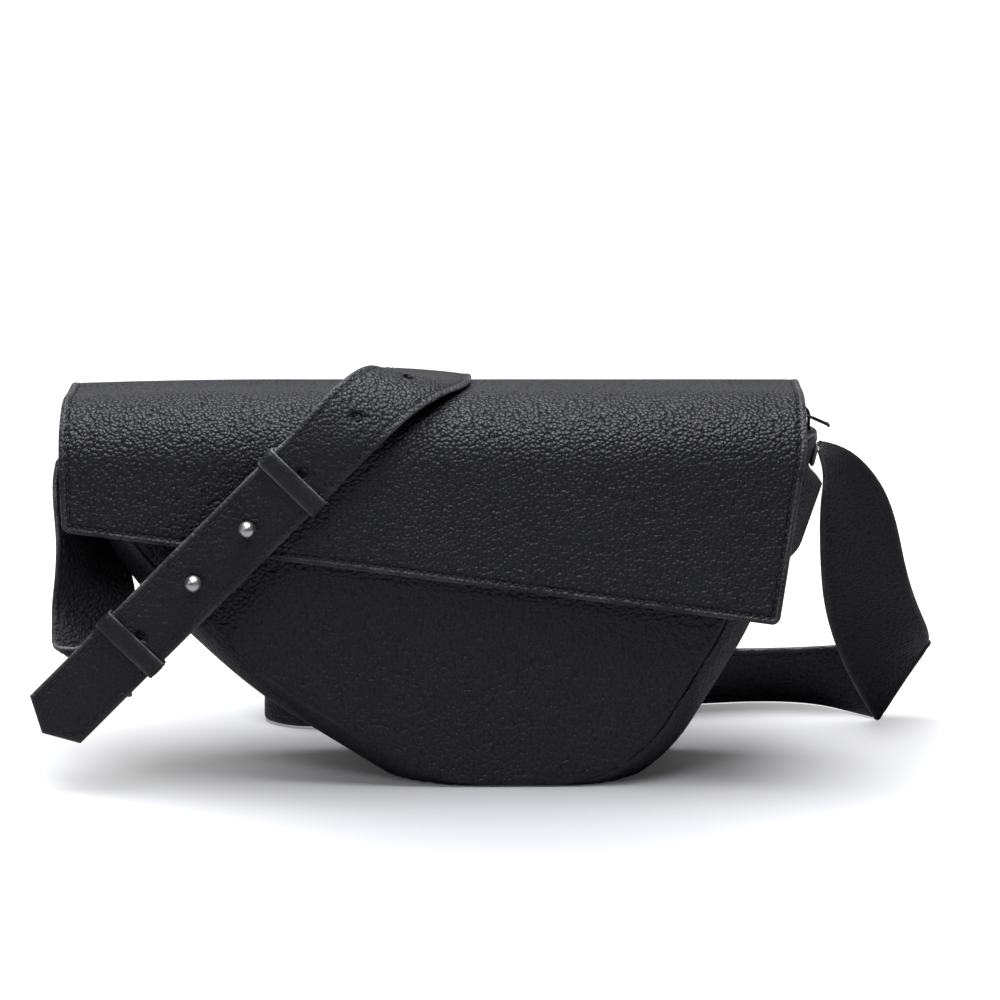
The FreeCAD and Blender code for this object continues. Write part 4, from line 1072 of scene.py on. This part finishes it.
# Short half of the strap: from the left end of the gusset it hangs in a loop, rolls forward and
# turns up under the long half, where it carries the two studs. Its stations are shares of the way
# from the gusset to that join, a direction and a share of the width.
SHORT_RUN_SHARES = [
    (0.0, 0.024, 0.901, (0.15, 0.99, 0.0), 0.6),
    (0.25, 0.17, 0.638, (0.45, 0.9, 0.0), 0.82),
    (0.57, 0.34, 0.362, (0.88, 0.47, -0.1), 0.95),
    (0.575, 0.533, 0.138, (0.9, 0.1, -0.4), 1.0),
    (0.58, 0.738, 0.021, (0.86, 0.05, -0.5), 1.02),
    (0.615, 0.872, -0.065, (0.84, 0.0, -0.54), 1.03),
    (0.708, 0.955, -0.066, (0.8, 0.0, -0.6), 0.95),
]
SHORT_FRONT_SHARES = (0.08, 0.3, 0.55, 0.8, 1.0)
short_start = 48 * mm
short_end = 67 * mm
short_lead = 6 * mm
short_back = short_middle - half_strap
left_anchor = (gusset_end(-1, anchor_height) - anchor_step, seam_middle, anchor_height)
short_join = front_place(-short_start - split_gap, short_middle - 2 * split_gap)
short_pairs = [edge_pair(left_anchor, (0, 1, 0), anchor_width)]
for x_share, y_share, z_share, direction, width_share in SHORT_RUN_SHARES:
    centre = (left_anchor[0] + (short_join[0] - left_anchor[0]) * x_share, -y_share * short_back,
              short_join[2] + (anchor_height - short_join[2]) * z_share)
    short_pairs.append(edge_pair(centre, direction, width_share * strap_wide))
short_pairs.append(edge_pair(short_join - along * short_lead, across, strap_narrow))
short_pairs.append(edge_pair(short_join, across, strap_narrow))
for share in SHORT_FRONT_SHARES:
    reach = -short_start + (short_start + short_end) * share
    short_pairs.append(edge_pair(front_place(reach, short_middle), across, strap_narrow))
short_grid = strap_run(short_pairs)
short_shell, short_normal = strap_shell(short_grid, open_ends(short_grid))
short_stitches = edge_stitches(short_grid, short_normal, slice(2, -2))
strap_short = piece("strap_short", [short_shell] + short_stitches, strap_finishes)
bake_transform(strap_short)
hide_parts("strap_short_side", "strap_short_front")

# Keeper loops: two narrow leather bands, sewn into rings, that hold both strap halves together and
# slide along them. Their edges are painted and creased by a hot iron.
keeper_length = 8.6 * mm
keeper_wall = 1.2 * mm
keeper_slack = 0.35 * mm
keeper_crease = 1.25 * mm
keeper_padding = 0.12 * mm
keeper_places = {"tip_keeper": -37.8 * mm, "inner_keeper": 58.3 * mm}
stack_depth = 2 * strap_thick + layer_gap
stack_middle = short_back + stack_depth / 2
keeper_leather = leather_finish("keeper_leather", (0.0095, 0.0098, 0.0122, 1), (0.0055, 0.0056, 0.0068, 1),
                                cell=1.8 * mm, depth=0.22 * mm, rough=0.42)
KEEPER_STEPS = np.array((0, 0.12, 0.35, 0.6, 0.95, 1.25, 1.6, 2.2, 3.2)) * mm
keeper_lines = edge_lines(KEEPER_STEPS, 0.0, 0, keeper_length)
# The ring round the strap: places across and in depth, with their outward directions.
ring_half = np.array((strap_narrow, stack_depth)) / 2 + keeper_slack + keeper_wall / 2
ring_corner = 1.3 * mm
ring_inner = ring_half - ring_corner
corner_steps = 8
flat_steps = 13
ring_rows = []
for turn, (sign_x, sign_y) in enumerate(((1, 1), (-1, 1), (-1, -1), (1, -1))):
    for step in range(corner_steps + 1):
        angle = quarter * (turn + step / corner_steps)
        out_x, out_y = math.cos(angle), math.sin(angle)
        ring_rows.append((sign_x * ring_inner[0] + ring_corner * out_x,
                          sign_y * ring_inner[1] + ring_corner * out_y, out_x, out_y))
    if turn in (0, 2):
        for step in range(1, flat_steps):
            across_flat = sign_x * ring_inner[0] * (1 - 2 * step / flat_steps)
            ring_rows.append((across_flat, sign_y * ring_half[1], 0.0, sign_y))
ring_axes = np.stack((across, (0, -1, 0)))
ring_places = np.array(ring_rows)[:, :2] @ ring_axes
ring_normals = np.array(ring_rows)[:, 2:] @ ring_axes
for name, place in keeper_places.items():
    ring = front_place(place - keeper_length / 2, stack_middle) + ring_places
    grid = ring[:, None, :] + along * keeper_lines[:, None]
    distance = np.broadcast_to(np.minimum(keeper_lines, keeper_length - keeper_lines), grid.shape[:2])
    half = rounded_edge(distance, keeper_wall / 2, keeper_wall / 2)
    padding = keeper_padding * share_along(distance, 0, 3 * mm)
    crease = dip(distance, keeper_crease, 0.3 * mm, 0.2 * mm) * (distance > 0)
    # Their pale edges are partly wear and partly a painted highlight.
    shell = closed_sheet(grid, ring_normals[:, None, :], half - crease + padding, -half,
                         edge_wear_and_highlight(distance) * 1.3, loop=True)
    band = piece(name + "_band", [shell], [keeper_leather, strap_back_painted_shade])
    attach(band, name)
    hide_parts(name)

# Studs: two polished steel ball studs that button the strap halves together, each held from behind
# by a slotted screw.


def metal_finish(name, colour, rough, grain, scratch):
    # Polished or plated metal with fine rubbing marks and faint smudges.
    finish, tree, spot = start_finish(name)
    draw = node(tree, "Mapping", "Vector", spot, Scale=(1.0, 1.0, 6.0), Rotation=(0.3, 0.2, 0.5))
    rubbed = node(tree, "TexNoise", "Fac", draw, Scale=grain, Detail=4.0, Roughness=0.65)
    smudge = node(tree, "TexNoise", "Fac", spot, Scale=grain / 7, Detail=2.0)
    return patterned_finish(finish, colour, 0.8, pattern=smudge, gloss=smudge, spread=(0.3, 0.7),
                            rough=(rough * 0.7, rough * 1.4), height=rubbed, strength=0.35,
                            depth=scratch, Metallic=1.0)


def finish_solid(label, finish):
    # Dresses a solid of the frame that stays as it is.
    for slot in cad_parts[label].material_slots:
        slot.material = finish


stud_steel = metal_finish("stud_steel", (0.52, 0.52, 0.535, 1), rough=0.3, grain=900.0, scratch=0.02 * mm)
screw_steel = metal_finish("screw_steel", (0.5, 0.5, 0.51, 1), rough=0.32, grain=1200.0, scratch=0.03 * mm)
finish_solid("stud_lower", stud_steel)
finish_solid("stud_upper", stud_steel)
finish_solid("stud_screws", screw_steel)

# Rim of the mouth: leather facings turned in from both panels, sewn down beside the zip, and a
# small leather tab over the zip's closed end.
facing_thick = 1.4 * mm
half_slot = 13 * mm
zip_left = left_end + 8 * mm
zip_right = right_end - 3 * mm
rim_height = mouth_height + facing_thick / 2
rim_step = 0.4 * mm
rim_bulge = 0.97 * gusset_bulge
RIM_THREAD = {"pitch": 3.9 * mm, "long": 2.9 * mm, "thick": 0.6 * mm, "sink": 0.3 * mm}
RIM_STEPS = np.array((0, 0.12, 0.35, 0.7, 1.2, 1.8)) * mm
rim_fine_x = RIM_STEPS / (280 * mm)
rim_fine_y = RIM_STEPS / (18 * mm)
RIM_SHARES_X = np.concatenate((rim_fine_x, np.linspace(0.012, 0.988, 90), 1 - rim_fine_x[::-1]))[:, None]
RIM_SHARES_Y = np.concatenate((rim_fine_y, np.linspace(0.15, 0.85, 9), 1 - rim_fine_y[::-1]))
facing_leather = leather_finish("facing_leather", black, crease_shade_black,
                                cell=1.7 * mm, depth=0.1 * mm, rough=0.52)


def rim_end(side, depth):
    # Sideways end of the mouth at a depth: the panel's rim corner and the gusset's swell.
    share = (depth + front_seam) / (front_seam + back_seam)
    corner = rim_left[0] if side < 0 else rim_right[0]
    return corner + side * rim_bulge * 4 * share * (1 - share)


def rim_sheet(name, near, far, right, stitch_lines):
    # A flat leather strip on the rim between two depths, from the mouth's left end to a right end, which
    # is a place or the mouth's own end where none is given, with rows of stitches.
    y = np.broadcast_to(near + (far - near) * RIM_SHARES_Y, (len(RIM_SHARES_X), len(RIM_SHARES_Y)))
    left = rim_end(-1, y)
    if right is None:
        right = rim_end(1, y)
    x = left + (right - left) * RIM_SHARES_X
    grid = np.stack((x, y, np.full_like(x, rim_height)), axis=2)
    edge_x = np.minimum(x - left, right - x)
    distance = np.minimum(edge_x, np.minimum(np.abs(y - near), np.abs(y - far)))
    half = rounded_edge(distance, facing_thick / 2, facing_thick / 2)
    up = np.array((0.0, 0.0, 1.0))
    shells = [closed_sheet(grid, up, half, -half, edge_wear_and_highlight(distance))]
    for line_x, line_y in stitch_lines:
        path = np.stack(np.broadcast_arrays(line_x, line_y, mouth_height + facing_thick - 0.1 * mm), axis=1)
        normal = np.broadcast_to(up, path.shape)
        shells.append(stitch_row(path, normal, **RIM_THREAD))
    return piece(name, shells, [facing_leather, suede_side, thread])


guess_depth = -25 * mm
guess_left, guess_right = rim_end(-1, guess_depth), rim_end(1, guess_depth)
rim_guess = guess_left + (guess_right - guess_left) * RIM_SHARES_X
zip_line = np.linspace(zip_left - 4 * mm, zip_right + 3 * mm, 140)
rim_line = np.linspace(left_end + 6 * mm, right_end - 6 * mm, 140)
for name, towards in (("front_facing", -1), ("back_facing", 1)):
    rim_depth = panel_face(towards, rim_guess, mouth_height) - towards * rim_step
    zip_seam = (zip_line, towards * (half_slot + 2.6 * mm))
    rim_seam = (rim_line, panel_face(towards, rim_line, mouth_height) - towards * (rim_step + 3.2 * mm))
    facing = rim_sheet(name + "_leather", rim_depth, towards * half_slot, None, [zip_seam, rim_seam])
    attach(facing, "bag")
    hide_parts(name)

tab_half = half_slot - 0.2 * mm
tab_right = zip_left - 0.3 * mm
tab_seam = (tab_right - 2.4 * mm, np.linspace(-tab_half + 2 * mm, tab_half - 2 * mm, 20))
end_tab = rim_sheet("zip_end_leather", -tab_half, tab_half, tab_right, [tab_seam])
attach(end_tab, "bag")
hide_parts("zip_end_tab")

# Strap tabs: a small leather patch sewn to each end of the gusset, under the strap's gathered end.
tab_height = 9 * mm
tab_low = anchor_height - 5 * mm
tab_near = seam_middle - anchor_width / 2
tab_corner = 3 * mm
tab_stitch = 2.1 * mm
tab_stitch_cut = 0.9 * mm
TAB_THREAD = {"pitch": 3.4 * mm, "long": 2.4 * mm, "thick": 0.6 * mm, "sink": 0.25 * mm}
TAB_STEPS = np.array((0, 0.15, 0.4, 0.8, 1.3, 1.8, 2.1, 2.4, 2.9)) * mm
across_grid, up_grid = np.meshgrid(edge_lines(TAB_STEPS, 4.2 * mm, 5, anchor_width),
                                   edge_lines(TAB_STEPS, 3.6 * mm, 3, tab_height))
near_side = np.minimum(across_grid, anchor_width - across_grid)
near_end = np.minimum(up_grid, tab_height - up_grid)
new_side, new_end, tab_distance = rounded_corner(near_side, near_end, tab_corner)
across_grid = np.where(across_grid < anchor_width / 2, new_side, anchor_width - new_side)
up_grid = np.where(up_grid < tab_height / 2, new_end, tab_height - new_end)
seam_near, seam_far = tab_stitch, anchor_width - tab_stitch
seam_low, seam_high = tab_stitch, tab_height - tab_stitch
box_line = np.array((
    (seam_near, seam_low + tab_stitch_cut),
    (seam_near, seam_high - tab_stitch_cut),
    (seam_near + tab_stitch_cut, seam_high),
    (seam_far - tab_stitch_cut, seam_high),
    (seam_far, seam_high - tab_stitch_cut),
    (seam_far, seam_low + tab_stitch_cut),
    (seam_far - tab_stitch_cut, seam_low),
    (seam_near + tab_stitch_cut, seam_low),
    (seam_near, seam_low + tab_stitch_cut),
))
slant_reach = 4 * mm


def on_gusset_end(side, slant, across_tab, up_tab, lift):
    # Places on a tab that lies on the gusset's slanting end, lifted off it.
    z = tab_low + up_tab
    x = gusset_end(side, anchor_height) + slant * (z - anchor_height) + side * lift
    return np.stack((x, tab_near + across_tab, z), axis=-1)


for name, side in (("strap_tab_left", -1), ("strap_tab_right", 1)):
    upper_end = gusset_end(side, anchor_height + slant_reach)
    slant = (upper_end - gusset_end(side, anchor_height - slant_reach)) / (2 * slant_reach)
    facing_out = np.array((side, 0, -side * slant)) / math.hypot(1, slant)
    grid = on_gusset_end(side, slant, across_grid, up_grid, tab_gap + tab_thick / 2)
    half = rounded_edge(tab_distance, tab_thick / 2, tab_thick / 2)
    groove = dip(tab_distance, tab_stitch, 0.5 * mm, 0.25 * mm) * (tab_distance > 0)
    shell = closed_sheet(grid, facing_out, half - groove, -half, edge_wear_and_highlight(tab_distance))
    sewn = on_gusset_end(side, slant, box_line[:, 0], box_line[:, 1], tab_gap + tab_thick - 0.2 * mm)
    sewn_normal = np.broadcast_to(facing_out, sewn.shape)
    stitches = stitch_row(sewn, sewn_normal, **TAB_THREAD)
    tab = piece(name + "_leather", [shell, stitches], [keeper_leather, suede_side, thread])
    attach(tab, "bag")
    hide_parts(name)

# Zip: two woven tapes sewn under the facings, each with a row of cast teeth clamped on its inner
# edge. The slider and its wire puller are blackened metal.
tape_low = mouth_height - 1.1 * mm
tape_thick = 0.8 * mm
tape_width = 11.8 * mm
tooth_tip = 0.7 * mm
tooth_depth = 2.5 * mm
tooth_length = 1.5 * mm
tooth_height = 2.6 * mm
tooth_pitch = 3.4 * mm
tape_edge = tooth_tip + tooth_depth
tape_middle = tape_low + tape_thick / 2


def woven_finish(name, colour, thread_width, rough, depth):
    # Plain woven cloth: two sets of threads that cross over and under.
    finish, tree, spot = start_finish(name)
    turn = node(tree, "Mapping", "Vector", spot, Rotation=(0.62, 0.0, 0.0))
    threads = {"Scale": 0.314 / thread_width, "Distortion": 0.4}
    warp = node(tree, "TexWave", "Fac", turn, bands_direction="X", **threads)
    weft = node(tree, "TexWave", "Fac", turn, bands_direction="Y", **threads)
    weave = figure(tree, "MULTIPLY", warp, weft)
    slub = node(tree, "TexNoise", "Fac", spot, Scale=0.25 / thread_width, Detail=3.0)
    # Where the threads dip under each other the cloth is drawn darker, painted shade in the weave.
    return patterned_finish(finish, colour, 0.5, pattern=weave, gloss=slub,
                            rough=(rough - 0.1, rough + 0.1), height=weave, strength=0.8, depth=depth,
                            Specular_IOR_Level=0.25, Sheen_Weight=0.1)


tape_cloth = woven_finish("tape_cloth", (0.02, 0.02, 0.022, 1),
                          thread_width=0.55 * mm, rough=0.75, depth=0.12 * mm)
dark_metal = metal_finish("dark_metal", (0.055, 0.056, 0.06, 1), rough=0.3, grain=1400.0, scratch=0.02 * mm)
TAPE_STEPS = np.array((0, 0.1, 0.3, 0.7, 1.2, 1.7, 2.4, 4, 6, 8, 10, 11.2, 11.6, 11.8)) * mm
# One side of a tooth's outline, from its root to its tip, and its layers as shares of height and size.
TOOTH_SIDE = ((0.5, 1.0), (0.5, 0.62), (0.26, 0.5), (0.26, 0.38), (0.44, 0.26), (0.44, 0.1), (0.26, 0.0))
TOOTH_LAYERS = ((-0.5, 0.82), (-0.4, 1.0), (0.4, 1.0), (0.5, 0.82))
tooth_shares = [(-x, y) for x, y in TOOTH_SIDE] + list(TOOTH_SIDE[::-1])
tooth_outline = np.array(tooth_shares) * (tooth_length, tooth_depth)
tooth_heart = np.array((0, tooth_depth / 2))
tooth_rings = [tooth_heart + (tooth_outline - tooth_heart) * size for _, size in TOOTH_LAYERS]
tooth_levels = np.repeat([level * tooth_height for level, _ in TOOTH_LAYERS], len(tooth_outline))
tooth_faces = ring_faces(len(TOOTH_LAYERS), len(tooth_outline))
tooth_x, tooth_y = np.concatenate(tooth_rings).T
tooth_count = int((zip_right - zip_left - tooth_pitch) / tooth_pitch)
x_grid, across_grid = np.meshgrid(np.linspace(zip_left, zip_right, 130), TAPE_STEPS, indexing="ij")
tape_ends = np.minimum(x_grid - zip_left, zip_right - x_grid)
tape_distance = np.minimum(np.minimum(across_grid, tape_width - across_grid), tape_ends)
tape_half = rounded_edge(tape_distance, tape_thick / 2 - 0.1 * mm, 0.3 * mm)
tape_half = tape_half + dip(across_grid, 0.9 * mm, 0.7 * mm, 0.14 * mm) * (tape_distance > 0)
for name, towards in (("front", -1), ("back", 1)):
    y_grid = towards * (tape_edge + across_grid)
    grid = np.stack((x_grid, y_grid, np.full_like(x_grid, tape_middle)), axis=2)
    shell = closed_sheet(grid, np.array((0, 0, 1)), tape_half, -tape_half, np.zeros_like(tape_half))
    tape = piece("zip_cloth_" + name, [shell], [tape_cloth])
    tape.data.polygons.foreach_set("material_index", [0] * len(tape.data.polygons))
    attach(tape, "zip_" + name)
    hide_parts("zip_tape_" + name)
    first_tooth = zip_left + tooth_length / 2 + (tooth_pitch / 2 if towards > 0 else 0)
    shells = []
    for index in range(tooth_count):
        middle_x = first_tooth + index * tooth_pitch
        places = (middle_x + tooth_x, towards * (tooth_tip + tooth_y), tape_middle + tooth_levels)
        points = np.stack(places, axis=1)
        shells.append((points, tooth_faces, [0] * len(tooth_faces), np.zeros(len(points))))
    teeth = piece("zip_cast_teeth_" + name, shells, [dark_metal])
    teeth.data.shade_flat()
    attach(teeth, "zip_" + name)
    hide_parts("zip_teeth_" + name)
finish_solid("zip_slider", dark_metal)
finish_solid("zip_puller", dark_metal)

# Lining: woven cloth cut like the panels and gusset, sewn in along the facings, and the fibreboard
# that keeps the base flat between lining and leather.
lining_margin = 2.2 * mm
lining_thick = 0.8 * mm
lining_gap = 0.2 * mm
lining_floor = 3.6 * mm
lining_top = mouth_height - 3.85 * mm
lining_cloth = woven_finish("lining_cloth", (0.03, 0.03, 0.033, 1),
                            thread_width=0.8 * mm, rough=0.8, depth=0.1 * mm)
for name, towards in (("lining_front", -1), ("lining_back", 1)):
    cloth = panel_disc(name + "_cloth", [lining_cloth, lining_cloth], towards,
                       margin=lining_margin + lining_thick + lining_gap, inset=lining_margin,
                       thick=lining_thick, low=lining_floor + lining_thick + lining_gap,
                       top=lining_top, turn_in=0.0)
    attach(cloth, "bag")
    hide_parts(name)
lining_band = gusset_band("lining_gusset_cloth", [lining_cloth, lining_cloth], margin=lining_margin,
                          sink=0.0, thick=lining_thick, floor_height=lining_floor, top=lining_top,
                          spacing=3.4 * mm, pucker=0.0, slack=0.0)
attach(lining_band, "bag")
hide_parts("lining_gusset")


def board_finish(name, colour):
    # Pressed fibreboard: short fibres lying every way in a flat grey-brown sheet.
    finish, tree, spot = start_finish(name)
    fibres = node(tree, "TexNoise", "Fac", spot, Scale=900.0, Detail=6.0, Roughness=0.7, Distortion=2.0)
    return patterned_finish(finish, colour, 0.55, pattern=fibres, gloss=fibres, rough=(0.7, 0.95),
                            height=fibres, strength=0.5, depth=0.06 * mm)


finish_solid("base_board", board_finish("pressed_board", (0.16, 0.13, 0.1, 1)))

bpy.context.view_layer.update()
